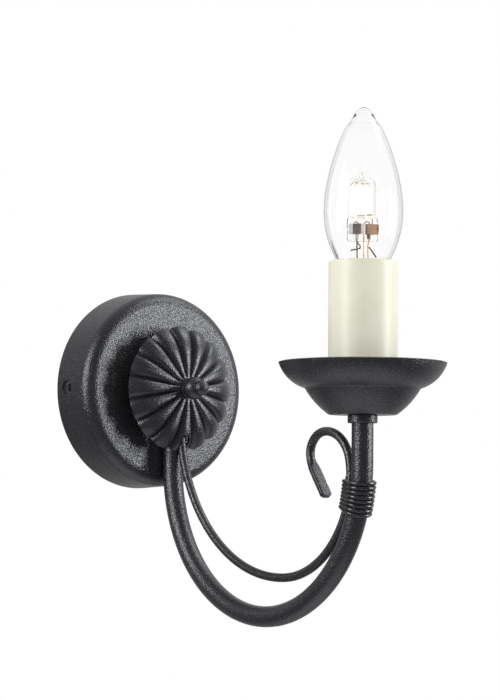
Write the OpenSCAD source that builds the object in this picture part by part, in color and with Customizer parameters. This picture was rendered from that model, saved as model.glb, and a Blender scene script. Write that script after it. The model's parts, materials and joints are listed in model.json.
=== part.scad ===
// Candle wall lamp: round back plate, petalled rosette, U-shaped tube arm with a
// scrolled rod bound to it by wire, drip pan, candle sleeve and candle lamp.
// Millimetres. The wall is the plane y = 0, the lamp stands out along -Y and +Z is up.
// The origin is on the wall, behind the centre of the back plate.

/* [Back plate] */
// Diameter of the back plate at the wall
plate_d = 96; // [90:0.5:110]
// Diameter of the back plate at its front shoulder
plate_front_d = 94; // [88:0.5:96]
// Depth of the back plate from the wall to its front face
plate_depth = 24.9; // [23:0.1:32]
// Radius of the plate's front shoulder
plate_shoulder = 4; // [2:0.5:8]
// Thickness of the pressed steel of the plate
plate_wall = 1.2; // [0.8:0.1:1.6]
// Diameter of the two holes in the plate's side
side_hole_d = 7.2; // [6.6:0.1:8]
// Distance of the side holes from the wall
side_hole_y = 8; // [7:0.5:10]
// Diameter of the plate's hole for the wires
plate_wire_hole_d = 8.4; // [7.6:0.2:9]

/* [Wall bracket] */
// Height of the bracket strap
strap_h = 18; // [16:1:22]
// Thickness of the bracket sheet
strap_t = 1.5; // [1.2:0.1:2]
// Distance between the two wall screw slots
slot_spacing = 60; // [54:1:64]
// Width of a wall screw slot
slot_w = 5.2; // [4.5:0.1:6]
// Length of a wall screw slot, end to end
slot_len = 12; // [8:1:14]
// Diameter of the cable entry hole
cable_hole_d = 10; // [8:0.5:12]
// Height of the bracket's upright ears
ear_h = 12; // [10:1:14]
// Width of the tongue that carries the terminal block
tongue_w = 30; // [28:1:34]

/* [Terminals and wires] */
// Number of poles in the terminal block
poles = 3; // [3:1:3]
// Distance between two poles
pole_pitch = 8; // [7:0.5:9]
// Height of the terminal block
block_h = 16; // [14:1:18]
// Depth of the terminal block off the bracket
block_depth = 11; // [10:0.5:12]
// Outer diameter of an insulated wire
core_d = 1.7; // [1.4:0.1:1.8]
// Distance of each lamp wire from the middle of the tube
core_offset = 1.5; // [1.2:0.1:1.6]
// Radius of the wires' bends
core_bend = 5; // [4:0.5:5.5]

/* [Arm] */
// Outer diameter of the arm tube
tube_d = 9.6; // [9:0.1:10.4]
// Wall of the arm tube
tube_wall = 1; // [0.8:0.1:1.2]
// Radius of the arm's bend, on the tube's centreline
arm_r = 69.5; // [66:0.5:80]
// Drop from the fixing stud to the start of the bend
arm_drop = 36.8; // [34:0.2:42]
// Rise of the tube above the fixing stud
arm_head = 8; // [7:0.5:10]
// Drop from the drip pan's base to the start of the bend
arm_neck = 21.8; // [20:0.2:28]
// Drop from the fixing stud to the arm's wire hole
wire_hole_drop = 14; // [12:0.5:16]

/* [Fixing stud and rosette] */
// Diameter of the fixing stud
stud_d = 6; // [5:0.5:6]
// Width across the flats of the stud's nut
stud_nut_af = 10; // [10:0.5:11]
// Thickness of the stud's nut
stud_nut_h = 5; // [4:0.5:6]
// Outer diameter of the rosette
rosette_d = 60.6; // [56:0.5:64]
// Number of petals
petals = 16; // [12:1:20]
// Height of the rosette's dome
rosette_rise = 6.4; // [5:0.2:8]
// Depth of the flutes between the petals
flute = 2.2; // [1:0.1:2.6]
// Depth of the scallops round the rim
scallop = 2.3; // [1:0.1:3]
// Thickness of the rosette's sheet
sheet = 0.8; // [0.6:0.1:1]
// Diameter of the rosette's flat middle
hub_d = 11; // [10.5:0.1:12.5]

/* [Finial] */
// Diameter of the finial's seat ring
finial_seat_d = 9.8; // [9:0.1:10.6]
// Diameter of the finial's ball
finial_ball_d = 10.9; // [10:0.1:12]
// Diameter of the finial's tip
finial_tip_d = 7.3; // [6:0.1:8]
// Length of the finial
finial_len = 13.6; // [12.4:0.1:15]

/* [Scroll rod] */
// Diameter of the scroll rod
rod_d = 4; // [3.6:0.1:4.4]
// Straight length of the rod below the fixing stud
rod_straight = 20.3; // [18:0.1:22]
// Radius and turn in degrees of each bend, from the rosette to the crook's end
rod_bends = [[50, 18.8], [76.4, 74.3], [48.6, 64.7], [40, 31.8], [16.4, 84.2], [10.9, 48.4], [8.8, 72.3]];
// Thickness of the rod's flattened upper end
eye_t = 1.8; // [1.4:0.1:2]
// Width of the rod's flattened upper end
eye_w = 5; // [4:0.5:5.5]
// Length of the hammered blade at the crook's end
blade_len = 14.3; // [12:0.5:16]
// Width of the hammered blade
blade_w = 5.8; // [5:0.1:6.5]
// Thickness of the hammered blade
blade_t = 2.4; // [2:0.1:3]

/* [Binding wire] */
// Diameter of the binding wire
bind_d = 1.15; // [1:0.05:1.15]
// Number of turns
bind_turns = 8; // [6:1:9]
// Distance between two turns, on the tube's centreline
bind_pitch = 1.85; // [1.85:0.05:2.1]
// Angle of the arm's bend at which the binding begins
bind_start = 6.4; // [5.5:0.1:7]

/* [Drip pan] */
// Diameter of the drip pan at its rim
pan_d = 73.6; // [70:0.5:80]
// Height of the pan's rim above its base
pan_h = 22; // [20:0.5:26]
// Diameter of the pan's flat base
pan_base_d = 31; // [28:0.5:34]
// Diameter of the step between the pan's lower and upper bowl
pan_step_d = 51; // [46:0.5:56]
// Height of the step above the base
pan_step_h = 10.4; // [9:0.1:12]
// Sheet thickness of the pan
pan_wall = 1; // [0.8:0.1:1.2]
// Outer diameter of the collar under the pan
collar_d = 13.1; // [12:0.1:15]
// Height of the collar under the pan
collar_h = 4.3; // [3:0.1:6]

/* [Candle sleeve] */
// Outer diameter of the candle sleeve
sleeve_d = 30.4; // [30:0.1:31.5]
// Wall of the candle sleeve
sleeve_wall = 1.3; // [1:0.1:1.6]
// Length of the candle sleeve
sleeve_len = 60.5; // [56:0.5:64]

/* [Lampholder] */
// Outer diameter of the hollow threaded nipple
nipple_d = 7.5; // [7:0.1:7.5]
// Bore of the nipple
nipple_bore_d = 5.5; // [5.2:0.1:5.8]
// Width across the flats of the pan's nut
pan_nut_af = 13; // [12:0.5:14]
// Thickness of the pan's nut
pan_nut_h = 4; // [3:0.5:5]
// Height of the lampholder above its flange
holder_h = 53.5; // [52:0.5:56]
// Height of the lampholder's lower cup
holder_cup_h = 26; // [24:0.5:28]
// Wall of the lampholder
holder_wall = 1.8; // [1.4:0.1:2.2]

/* [Lamp] */
// Greatest diameter of the lamp's glass
glass_d = 35; // [35:0.1:37]
// Length of the lamp from its contact to its tip
lamp_len = 100; // [98:1:106]
// Height of the glass's widest point above the contact
belly_h = 54.2; // [52:0.2:58]
// Thickness of the glass
glass_wall = 0.7; // [0.5:0.1:1]
// Outer diameter of the lamp cap's shell
cap_d = 13.9; // [13.5:0.1:14]
// Diameter of the lamp cap's skirt
skirt_d = 17; // [16.5:0.1:17.5]
// Height of the lamp cap above the contact
cap_h = 26.7; // [25:0.1:28]
// Diameter of the halogen capsule
capsule_d = 12.7; // [11:0.1:13]
// Length of the halogen capsule's round part
capsule_len = 19.4; // [16:0.2:22]

/* [Hidden] */
$fn = 64;

// Clearances between pieces
fit_gap = 0.05;
loose_gap = 0.2;
slide_gap = 0.3;
lap = 0.02;

// Arm, in the lamp's upright plane: distance from the wall, then height
tube_r = tube_d / 2;
tube_bore_r = tube_r - tube_wall;
leg_y = plate_depth + tube_r;
arm_centre = [leg_y + arm_r, -arm_drop];
axis_y = leg_y + 2 * arm_r;
pan_base_z = arm_neck - arm_drop;
tube_top = arm_head;

// Side screws and ears of the bracket
plate_taper = (plate_d - plate_front_d) / 2 / (plate_depth - plate_shoulder);
side_wall_r = plate_d / 2 - side_hole_y * plate_taper;
ear_depth = side_hole_y + 5;
// The plate's inner radius at its narrower end, the wall or the ears' front edge
ear_wall_r = plate_d / 2 - max(0, ear_depth * plate_taper) - plate_wall;
ear_x = sqrt(pow(ear_wall_r - fit_gap, 2) - pow(ear_h / 2, 2));
strap_x = sqrt(pow(ear_wall_r - fit_gap, 2) - pow(strap_h / 2, 2)) - 1;
cover_screw_d = 4;
cover_head_d = side_hole_d - 0.6;

// Terminal block, its wires and the earth point
block_y = strap_t;
block_z = strap_h / 2 + 2;
block_w = poles * pole_pitch + 1;
tongue_top = block_z + block_h + 2;
clamp_y = block_y + 6;
clamp_d = 4.4;
clamp_bore_d = 2.6;
terminal_screw_d = 2.6;
block_screw_d = 2.5;
block_screw_head_d = 3.4;
earth_x = -slot_spacing / 4;
earth_screw_d = 4;
earth_head_d = 7;
ring_t = 0.8;
wire_y = clamp_y;

// Fixing stud, from the inside of the plate to the finial
plate_inner_y = plate_depth - plate_wall;
stud_washer_t = 1.2;
stud_tail = 2;
nut_front_y = plate_inner_y - stud_washer_t;
nut_back_y = nut_front_y - stud_nut_h;
tube_front_y = plate_depth + tube_d;
eye_front_y = tube_front_y + fit_gap + eye_t;
rim_y = tube_front_y + sheet + slide_gap;
rosette_y = rim_y + rosette_rise;
stud_in_finial = 7;

// Rosette dome: a circle arc from the flat middle out to the rim
rosette_r = rosette_d / 2;
hub_r = hub_d / 2;
dome_run = rosette_r - hub_r;
dome_r = (pow(dome_run, 2) + pow(rosette_rise, 2)) / (2 * rosette_rise);
petal_steps = 8;
dome_steps = 8;
dome_sides = petals * petal_steps;

// Scroll rod
rod_r = rod_d / 2;
rod_y = tube_front_y + fit_gap + rod_r;
rod_start = [rod_y, -rod_straight];
eye_bottom = rod_straight - 2;
taper_turn = 4.2;
notch_top = rod_straight + 2;
notch_w = rod_d + 1.2;
// Gap between the rod and the arm tube where the binding wire holds them
touch_gap = 0.08198;

// Binding wire: the fourth bend of the rod is the one that it holds
bind_bend = 3;
bind_rings = 24;
bind_sides = 6;
bind_gap = 0.12;

// Drip pan
pan_r = pan_d / 2;
pan_floor_z = pan_base_z + pan_wall;
nipple_r = nipple_d / 2;
pan_washer_t = 1;
pan_nut_z = pan_floor_z + pan_washer_t;
holder_z = pan_nut_z + pan_nut_h;
flange_t = 1.5;
flange_top = holder_z + flange_t;

// Candle sleeve and lampholder
sleeve_r = sleeve_d / 2;
sleeve_bore_r = sleeve_r - sleeve_wall;
holder_r = sleeve_bore_r - slide_gap;
holder_top = holder_z + holder_h;
cup_top = holder_z + holder_cup_h;
nipple_top = holder_z + 4;
nipple_bottom = pan_base_z - 12;
block_seat_h = 13;
block_seat_z = holder_z + block_seat_h;
core_end = 3.5;
contact_slot = [4, 3, 12];
contact_block_h = 10;
contact_top = block_seat_z + contact_block_h;

// Lamp
lamp_z = contact_top + 5.3;
cap_r = cap_d / 2;
skirt_r = skirt_d / 2;
cap_t = 0.4;
cap_top = lamp_z + cap_h;
cap_bottom = lamp_z + 2.5;
skirt_z = cap_top - 5;
belly_z = lamp_z + belly_h;
tip_z = lamp_z + lamp_len;
neck_r = skirt_r - cap_t - fit_gap;
neck_z = cap_top - 2.8;
cap_bore_r = cap_r + slide_gap;
capsule_z = belly_z - 3;
pinch_h = 7;
stem_h = 7;

// How far the glass outline's curves reach from the neck, from the belly down and up, and at the tip
neck_pull = [3.5, 5];
belly_pull = 13.5;
tip_pull = 18;
tip_round = 6.5;

// Places its child with its own +Z along the lamp's way out from the wall
module outward(y) {
    translate([0, -y, 0]) rotate([90, 0, 0]) children();
}

// Places a drawing of the upright plane: x is the way out from the wall, y is up
module upright() {
    rotate([90, 0, -90]) children();
}

// Places its child on the candle's axis
module on_axis(z = 0) {
    translate([0, -axis_y, z]) children();
}

module ring(r_out, r_in, h) {
    difference() {
        cylinder(r = r_out, h = h);
        translate([0, 0, -1]) cylinder(r = r_in, h = h + 2);
    }
}

module hex_nut(af, bore_r, h) {
    difference() {
        cylinder(r = af / sqrt(3), h = h, $fn = 6);
        translate([0, 0, -1]) cylinder(r = bore_r, h = h + 2, $fn = 64);
    }
}

// A screw with its head's underside at z = 0 and its shank below
module slotted_screw(shank_d, shank_len, head_d, head_h) {
    slit = head_d * 0.18;
    difference() {
        union() {
            cylinder(d = head_d, h = head_h);
            translate([0, 0, -shank_len]) cylinder(d = shank_d, h = shank_len + lap);
        }
        translate([-head_d, -slit / 2, head_h * 0.5]) cube([2 * head_d, slit, head_h]);
    }
}

// A round bar from point a to point b
module bar(a, b, d) {
    v = b - a;
    len = norm(v);
    translate(a) rotate([0, acos(v.z / len), atan2(v.y, v.x)]) cylinder(d = d, h = len);
}

// A bar through a list of points, with round corners
module bent_bar(points, d) {
    for (i = [1 : len(points) - 1]) bar(points[i - 1], points[i], d);
    if (len(points) > 2) {
        for (i = [1 : len(points) - 2]) translate(points[i]) sphere(d = 1.06 * d, $fn = 32);
    }
}

// A round arc of bar in the upright plane, that stops short of each end by cut
module arc_bar(centre, r, from, turn, d, cut = 0) {
    cut_angle = cut / r * 180 / PI;
    translate([centre.x, centre.y, 0]) rotate([0, 0, from + cut_angle])
        rotate_extrude(angle = turn - 2 * cut_angle) translate([r, 0]) circle(d = d, $fn = 48);
}

// A short pin inside a bar of diameter d, that joins two bends across their cut
module bend_pin(p, heading, d) {
    reach = 0.2;
    translate([p.x, p.y, 0]) rotate([0, 0, heading - 90]) rotate([-90, 0, 0]) translate([0, 0, -reach])
        cylinder(d = d - 2 * lap, h = 2 * reach);
}

function turned(p, a) = [p.x * cos(a) - p.y * sin(a), p.x * sin(a) + p.y * cos(a)];

// Centre of a left-hand bend that starts at p, heading along h
function bend_centre(p, h, r) = p + r * [-sin(h), cos(h)];

function bend_end(p, h, bend) =
    let (c = bend_centre(p, h, bend[0])) c + turned(p - c, bend[1]);

// Start point and heading of each bend of a chain, and of its free end
function bend_starts(bends, p, h, i = 0) =
    i == len(bends) ? [[p, h]]
    : concat([[p, h]], bend_starts(bends, bend_end(p, h, bends[i]), h + bends[i][1], i + 1));

// Points of a round arc between two points of an outline that bulges by the sagitta
function arc_points(a, b, bulge, n) =
    let (
        chord = norm(b - a),
        r = (pow(chord / 2, 2) + pow(bulge, 2)) / (2 * bulge),
        along = (b - a) / chord,
        side = [along.y, -along.x],
        centre = (a + b) / 2 + side * (bulge - r),
        half = asin(chord / 2 / r)
    )
    [for (i = [0 : n]) let (t = -half + 2 * half * i / n) centre + r * (side * cos(t) + along * sin(t))];

// Points of a cubic curve
function curve_points(a, b, c, d, n, from = 0) =
    [for (i = [from : n]) let (t = i / n, s = 1 - t)
        a * s * s * s + b * 3 * s * s * t + c * 3 * s * t * t + d * t * t * t];

function unit(v) = v / norm(v);

// Scale of the rod's bends at which the bound one lies touch_gap away from the arm tube.
// It solves |start + scale * middle| = reach - scale * bound_r, seen from the arm's centre.
function rod_scale() =
    let (
        start = rod_start - arm_centre,
        bound = bend_starts(rod_bends, [0, 0], -90)[bind_bend],
        bound_r = rod_bends[bind_bend][0],
        middle = bend_centre(bound[0], bound[1], bound_r),
        reach = arm_r - tube_r - rod_r - touch_gap,
        a = middle * middle - pow(bound_r, 2),
        b = start * middle + reach * bound_r,
        c = start * start - pow(reach, 2)
    )
    (sqrt(pow(b, 2) - a * c) - b) / a;

// Radius and turn of each bend of the rod, sized to the arm
rod_run = [for (bend = rod_bends) [rod_scale() * bend[0], bend[1]]];

// End of the taper from the rod's flat upper end, a little way into its first bend
taper_end = bend_end(rod_start, -90, [rod_run[0][0], taper_turn]);

// Moves each point of an open outline to its left by t
function inset(points, t) = [
    for (i = [0 : len(points) - 1])
        let (
            before = points[max(i - 1, 0)],
            after = points[min(i + 1, len(points) - 1)],
            along = unit(after - before)
        )
        points[i] + t * [-along.y, along.x]
];

// Outline of the back plate's outer face, from the wall to the middle of the front
function plate_outline(shrink) =
    let (
        r_back = plate_d / 2 - shrink,
        r_front = plate_front_d / 2 - shrink,
        depth = plate_depth - shrink,
        shoulder = plate_shoulder - shrink
    )
    concat(
        [[r_back, 0]],
        [for (a = [0 : 15 : 90]) [r_front - shoulder, depth - shoulder] + shoulder * [cos(a), sin(a)]],
        [[0, depth]]
    );

module back_plate() {
    color("dimgray") difference() {
        outward(0) difference() {
            rotate_extrude($fn = 128) polygon(concat(plate_outline(0), [[0, 0]]));
            rotate_extrude($fn = 128)
                polygon(concat([[0, -1], [plate_d / 2 - plate_wall, -1]], plate_outline(plate_wall)));
            cylinder(r = stud_d / 2 + loose_gap, h = plate_depth + 1);
            translate([0, -wire_hole_drop, 0]) cylinder(d = plate_wire_hole_d, h = plate_depth + 1);
        }
        translate([-plate_d, -side_hole_y, 0]) rotate([0, 90, 0]) cylinder(d = side_hole_d, h = 2 * plate_d);
    }
}

module bracket_slot(x) {
    reach = (slot_len - slot_w) / 2;
    for (s = [-1, 1]) translate([x + s * reach, 0, -1]) cylinder(d = slot_w, h = strap_t + 2);
    translate([x - reach, -slot_w / 2, -1]) cube([2 * reach, slot_w, strap_t + 2]);
}

module wall_bracket() {
    color("silver") difference() {
        union() {
            outward(0) difference() {
                union() {
                    translate([-ear_x, -ear_h / 2, 0]) cube([2 * ear_x, ear_h, strap_t]);
                    translate([-strap_x, -strap_h / 2, 0]) cube([2 * strap_x, strap_h, strap_t]);
                    translate([-tongue_w / 2, 0, 0]) cube([tongue_w, tongue_top, strap_t]);
                }
                for (s = [-1, 1]) bracket_slot(s * slot_spacing / 2);
                translate([0, 0, -1]) cylinder(d = cable_hole_d, h = strap_t + 2);
                translate([earth_x, 0, -1]) cylinder(d = earth_screw_d + fit_gap, h = strap_t + 2);
                translate([pole_pitch / 2, block_z + block_h / 2, -1])
                    cylinder(d = block_screw_d + fit_gap, h = strap_t + 2);
            }
            for (s = [-1, 1])
                translate([s > 0 ? ear_x - strap_t : -ear_x, -ear_depth, -ear_h / 2])
                    cube([strap_t, ear_depth, ear_h]);
        }
        translate([-plate_d, -side_hole_y, 0]) rotate([0, 90, 0])
            cylinder(d = cover_screw_d + fit_gap, h = 2 * plate_d);
    }
}

module cover_screws() {
    color("silver") for (s = [-1, 1])
        translate([s * ear_x, -side_hole_y, 0]) rotate([0, s * 90, 0])
            slotted_screw(cover_screw_d, 6, cover_head_d, side_wall_r - ear_x - 0.5);
}

// Place of a pole's middle along the terminal block
function pole_x(i) = (i - (poles - 1) / 2) * pole_pitch;

module terminal_block() {
    color("white") difference() {
        translate([-block_w / 2, -block_y - block_depth, block_z]) cube([block_w, block_depth, block_h]);
        for (i = [0 : poles - 1]) {
            translate([pole_x(i), -clamp_y, block_z - 1])
                cylinder(d = clamp_d + 2 * fit_gap, h = block_h + 2);
            for (t = [0.25, 0.75])
                translate([pole_x(i), -clamp_y, block_z + t * block_h]) rotate([90, 0, 0])
                    cylinder(d = terminal_screw_d + 1.4, h = block_depth);
        }
        translate([pole_pitch / 2, 0, block_z + block_h / 2]) rotate([90, 0, 0])
            cylinder(d = block_screw_d + loose_gap, h = block_y + block_depth + 1);
        translate([pole_pitch / 2, -block_y - block_depth + 3, block_z + block_h / 2]) rotate([90, 0, 0])
            cylinder(d = block_screw_head_d + loose_gap, h = 4);
    }
}

module terminal_clamps() {
    color("gold") for (i = [0 : poles - 1]) difference() {
        translate([pole_x(i), -clamp_y, block_z + 1]) cylinder(d = clamp_d, h = block_h - 2);
        translate([pole_x(i), -clamp_y, block_z]) cylinder(d = clamp_bore_d, h = block_h);
        for (t = [0.25, 0.75])
            translate([pole_x(i), -clamp_y, block_z + t * block_h]) rotate([90, 0, 0])
                cylinder(d = terminal_screw_d + 2 * fit_gap, h = block_depth);
    }
}

module terminal_screws() {
    color("gold") for (i = [0 : poles - 1], t = [0.25, 0.75])
        translate([pole_x(i), -block_y - block_depth + 2, block_z + t * block_h]) rotate([90, 0, 0])
            slotted_screw(terminal_screw_d, block_y + block_depth - 2 - clamp_y - core_d / 2 - fit_gap,
                terminal_screw_d + 0.9, 1.2);
}

module block_screw() {
    color("silver") translate([pole_pitch / 2, -block_y - block_depth + 3, block_z + block_h / 2])
        rotate([90, 0, 0]) slotted_screw(block_screw_d, block_y + block_depth - 3, block_screw_head_d, 1.6);
}

module earth_screw() {
    color("gold") translate([earth_x, -strap_t - ring_t, 0]) rotate([90, 0, 0])
        slotted_screw(earth_screw_d, strap_t + ring_t, earth_head_d, 2);
}

module earth_ring() {
    color("gold") {
        translate([earth_x, -strap_t, 0]) rotate([90, 0, 0])
            ring(earth_head_d / 2 + 0.3, earth_screw_d / 2 + fit_gap, ring_t);
        translate([earth_x, -strap_t - core_d / 2 - 0.4, earth_head_d / 2 + 0.1]) difference() {
            cylinder(d = core_d + 0.8, h = 4);
            translate([0, 0, 1]) cylinder(d = core_d + 2 * fit_gap, h = 4);
        }
    }
}

module wire_grommet() {
    body_r = plate_wire_hole_d / 2 - fit_gap;
    bore_r = core_offset + core_d / 2 + 0.3;
    color("black") translate([0, 0, -wire_hole_drop]) {
        outward(plate_inner_y) ring(body_r, bore_r, plate_wall);
        outward(plate_inner_y - 1.2) ring(body_r + 1.2, bore_r, 1.2);
    }
}

// The arm's outline as a bar of diameter d, from height low to the tops of both legs
module arm_bar(d, over) {
    upright() {
        translate([leg_y, -arm_drop, 0]) rotate([-90, 0, 0]) cylinder(d = d, h = arm_drop + tube_top + over);
        translate([axis_y, -arm_drop, 0]) rotate([-90, 0, 0]) cylinder(d = d, h = arm_neck + over);
        arc_bar(arm_centre, arm_r, 180, 180, d);
    }
}

module arm_tube() {
    color("dimgray") difference() {
        arm_bar(tube_d, 0);
        arm_bar(2 * tube_bore_r, 1);
        outward(plate_depth - 1) cylinder(r = stud_d / 2 + loose_gap, h = tube_d + 2);
        translate([0, 0, -wire_hole_drop]) outward(plate_depth - 1)
            cylinder(r = core_offset + core_d / 2 + 0.5, h = tube_r + 1);
    }
}

module fixing_stud() {
    color("silver") outward(nut_back_y - stud_tail)
        cylinder(d = stud_d, h = rosette_y + stud_in_finial - nut_back_y + stud_tail);
}

module stud_nut() {
    color("silver") outward(nut_back_y) rotate([0, 0, 30])
        hex_nut(stud_nut_af, stud_d / 2 + fit_gap, stud_nut_h);
}

module stud_washer() {
    color("silver") outward(nut_front_y) ring(stud_nut_af / 2 + 2, stud_d / 2 + loose_gap, stud_washer_t);
}

module stud_spacer() {
    color("silver") outward(eye_front_y)
        ring(hub_r - 0.6, stud_d / 2 + loose_gap, rosette_y - sheet - eye_front_y);
}

// How far each point between two flutes stands out: 1 on the ridge, 0 in the flute
function lobe(step) = 1 - pow(2 * step / petal_steps - 1, 2);

// Distance of the rosette's front from the wall, at a share of the way out to the rim
function dome_y(share, step) =
    let (r = share * dome_run)
    rosette_y - dome_r + sqrt(pow(dome_r, 2) - pow(r, 2))
        - flute * (1 - pow(1.6 * share - 1, 2)) * (1 - lobe(step));

function dome_ring(share, step_shift, back) = [
    for (i = [0 : dome_sides - 1])
        let (
            step = i % petal_steps,
            a = 360 * i / dome_sides + step_shift,
            r = hub_r + share * (dome_run - scallop * (1 - lobe(step)) * pow(share, 3))
        )
        [r * cos(a), r * sin(a), dome_y(share, step) - back]
];

function stud_ring(back) = [
    for (i = [0 : dome_sides - 1])
        let (a = 360 * i / dome_sides, r = stud_d / 2 + loose_gap)
        [r * cos(a), r * sin(a), rosette_y - back]
];

// Triangles of a tube of rings, each with n points, that closes on itself
function ring_faces(rings, n) = [
    for (k = [0 : rings - 1], i = [0 : n - 1], half = [0, 1])
        let (
            k2 = (k + 1) % rings,
            i2 = (i + 1) % n,
            a = k * n + i,
            b = k * n + i2,
            c = k2 * n + i2,
            d = k2 * n + i
        )
        half == 0 ? [a, b, c] : [a, c, d]
];

module rosette_sheet() {
    // The half turn of a petal puts a ridge straight down, over the arm
    shift = 90 - 180 / petals;
    front = [for (k = [0 : dome_steps]) dome_ring(k / dome_steps, shift, 0)];
    back = [for (k = [dome_steps : -1 : 0]) dome_ring(k / dome_steps, shift, sheet)];
    rings = concat([stud_ring(0)], front, back, [stud_ring(sheet)]);
    points = [for (r = rings) each r];
    polyhedron(points = points, faces = ring_faces(len(rings), dome_sides), convexity = 8);
}

module rosette() {
    color("dimgray") rotate([90, 0, 0]) difference() {
        rosette_sheet();
        translate([-notch_w / 2, -rosette_r - 1, rim_y - 4])
            cube([notch_w, rosette_r + 1 - notch_top, rosette_rise + 4]);
    }
}

module finial() {
    ball_r = finial_ball_d / 2;
    tip_r = finial_tip_d / 2;
    ball_z = 4.3;
    seat_h = 1.8;
    color("dimgray") outward(rosette_y) difference() {
        union() {
            cylinder(d = finial_seat_d, h = seat_h);
            intersection() {
                translate([0, 0, ball_z]) sphere(r = ball_r);
                translate([0, 0, seat_h / 2]) cylinder(r = ball_r + 1, h = ball_z + ball_r);
            }
            translate([0, 0, ball_z]) cylinder(r = tip_r - 0.4, h = finial_len - ball_z - tip_r);
            translate([0, 0, finial_len - tip_r]) sphere(r = tip_r);
        }
        translate([0, 0, -1]) cylinder(d = stud_d + 2 * fit_gap, h = stud_in_finial + 1 + fit_gap);
    }
}

// The hammered blade, along +Y from the round rod's end
module blade() {
    blend = 4;
    corner = blade_w / 4;
    hull() {
        rotate([-90, 0, 0]) cylinder(d = rod_d, h = lap, $fn = 32);
        translate([-blade_t / 2, blend, -blade_w / 2]) cube([blade_t, lap, blade_w]);
    }
    hull() {
        translate([-blade_t / 2, blend, -blade_w / 2]) cube([blade_t, lap, blade_w]);
        for (s = [-1, 1]) translate([-blade_t / 2, blade_len - corner, s * (blade_w / 2 - corner)])
            rotate([0, 90, 0]) cylinder(r = corner, h = blade_t, $fn = 32);
    }
}

// The flattened upper end with its eye, and the taper from it to the round rod
module rod_eye() {
    difference() {
        outward(tube_front_y + fit_gap) {
            translate([-eye_w / 2, -eye_bottom, 0]) cube([eye_w, eye_bottom, eye_t]);
            cylinder(r = hub_r - 0.6, h = eye_t);
        }
        outward(tube_front_y) cylinder(r = stud_d / 2 + loose_gap, h = eye_t + 1);
    }
    hull() {
        translate([-eye_w / 2, -tube_front_y - fit_gap - eye_t, -eye_bottom]) cube([eye_w, eye_t, lap]);
        upright() translate([taper_end.x, taper_end.y, 0]) rotate([0, 0, taper_turn]) rotate([-90, 0, 0])
            cylinder(d = rod_d, h = lap, $fn = 32);
    }
}

module scroll_rod() {
    starts = bend_starts(rod_run, rod_start, -90);
    last = starts[len(rod_run)];
    color("dimgray") {
        rod_eye();
        upright() {
            for (i = [0 : len(rod_run) - 1]) {
                r = rod_run[i][0];
                taper = i == 0 ? taper_turn : 0;
                arc_bar(bend_centre(starts[i][0], starts[i][1], r), r,
                    starts[i][1] - 90 + taper, rod_run[i][1] - taper, rod_d, lap);
                if (i > 0) bend_pin(starts[i][0], starts[i][1], rod_d);
            }
            bend_pin(taper_end, -90 + taper_turn, rod_d);
            bend_pin(last[0], last[1], rod_d);
            translate([last[0].x, last[0].y, 0]) rotate([0, 0, last[1] - 90]) blade();
        }
    }
}

// Distance from the arm's bend centre to the rod's centreline, at angle a below level
function rod_reach(a) =
    let (
        start = bend_starts(rod_run, rod_start, -90)[bind_bend],
        r = rod_run[bind_bend][0],
        to_centre = bend_centre(start[0], start[1], r) - arm_centre,
        ray = [cos(a), -sin(a)],
        along = to_centre * ray
    )
    along + sqrt(pow(r, 2) - to_centre * to_centre + pow(along, 2));

// Centreline of the binding wire: a belt round the tube and the rod that climbs along the bend
function bind_point(turn) =
    let (
        a = bind_start + turn * bind_pitch / arm_r * 180 / PI,
        across = 180 - 360 * turn,
        apart = arm_r - rod_reach(a),
        r_tube = tube_r + bind_d / 2 + bind_gap,
        r_rod = rod_r + bind_d / 2 + bind_gap,
        on_rod = cos(across) < -(r_tube - r_rod) / apart,
        out = on_rod ? r_rod * cos(across) - apart : r_tube * cos(across),
        side = on_rod ? r_rod * sin(across) : r_tube * sin(across),
        reach = arm_r + out
    )
    [side, -arm_centre.x - reach * cos(a), arm_centre.y - reach * sin(a)];

module binding_wire() {
    count = bind_turns * bind_rings;
    middle = [for (i = [0 : count]) bind_point(i / bind_rings)];
    first = middle[0] - unit(middle[1] - middle[0]) * bind_d;
    final = middle[count] + unit(middle[count] - middle[count - 1]) * bind_d;
    path = concat([first], middle, [final]);
    least = min([for (i = [0 : count - bind_rings], k = [-1 : 1])
        norm(middle[i] - middle[min(i + bind_rings + k, count)])]) - bind_d;
    echo(str("Least gap between turns of the binding wire: ", least, " mm"));
    points = [for (i = [0 : len(path) - 1])
        let (
            along = unit(path[min(i + 1, len(path) - 1)] - path[max(i - 1, 0)]),
            side = unit(cross(along, [0, sin(bind_start + 6), cos(bind_start + 6)])),
            up = cross(side, along)
        )
        for (j = [0 : bind_sides - 1])
            path[i] + bind_d / 2 * (side * cos(360 * j / bind_sides) + up * sin(360 * j / bind_sides))];
    n = bind_sides;
    rings = len(path);
    walls = [for (k = [0 : rings - 2], i = [0 : n - 1], half = [0, 1])
        let (a = k * n + i, b = k * n + (i + 1) % n)
        half == 0 ? [a, b + n, b] : [a, a + n, b + n]];
    ends = [for (i = [1 : n - 2], end = [0, 1])
        end == 0 ? [0, i, i + 1] : [(rings - 1) * n, (rings - 1) * n + i + 1, (rings - 1) * n + i]];
    color("dimgray") polyhedron(points = points, faces = concat(walls, ends), convexity = 10);
}

module pan_collar() {
    color("dimgray") on_axis(pan_base_z - collar_h) ring(collar_d / 2, tube_r + fit_gap, collar_h);
}

// Outline of the pan's outer face, from its base out to its rim
function pan_outline() = concat(
    [[nipple_r + loose_gap, 0]],
    arc_points([pan_base_d / 2, 0], [pan_step_d / 2 - 0.3, pan_step_h - 0.5], 0.7, 6),
    arc_points([pan_step_d / 2 + 0.4, pan_step_h + 0.1], [pan_r, pan_h], 1.9, 10)
);

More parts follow.
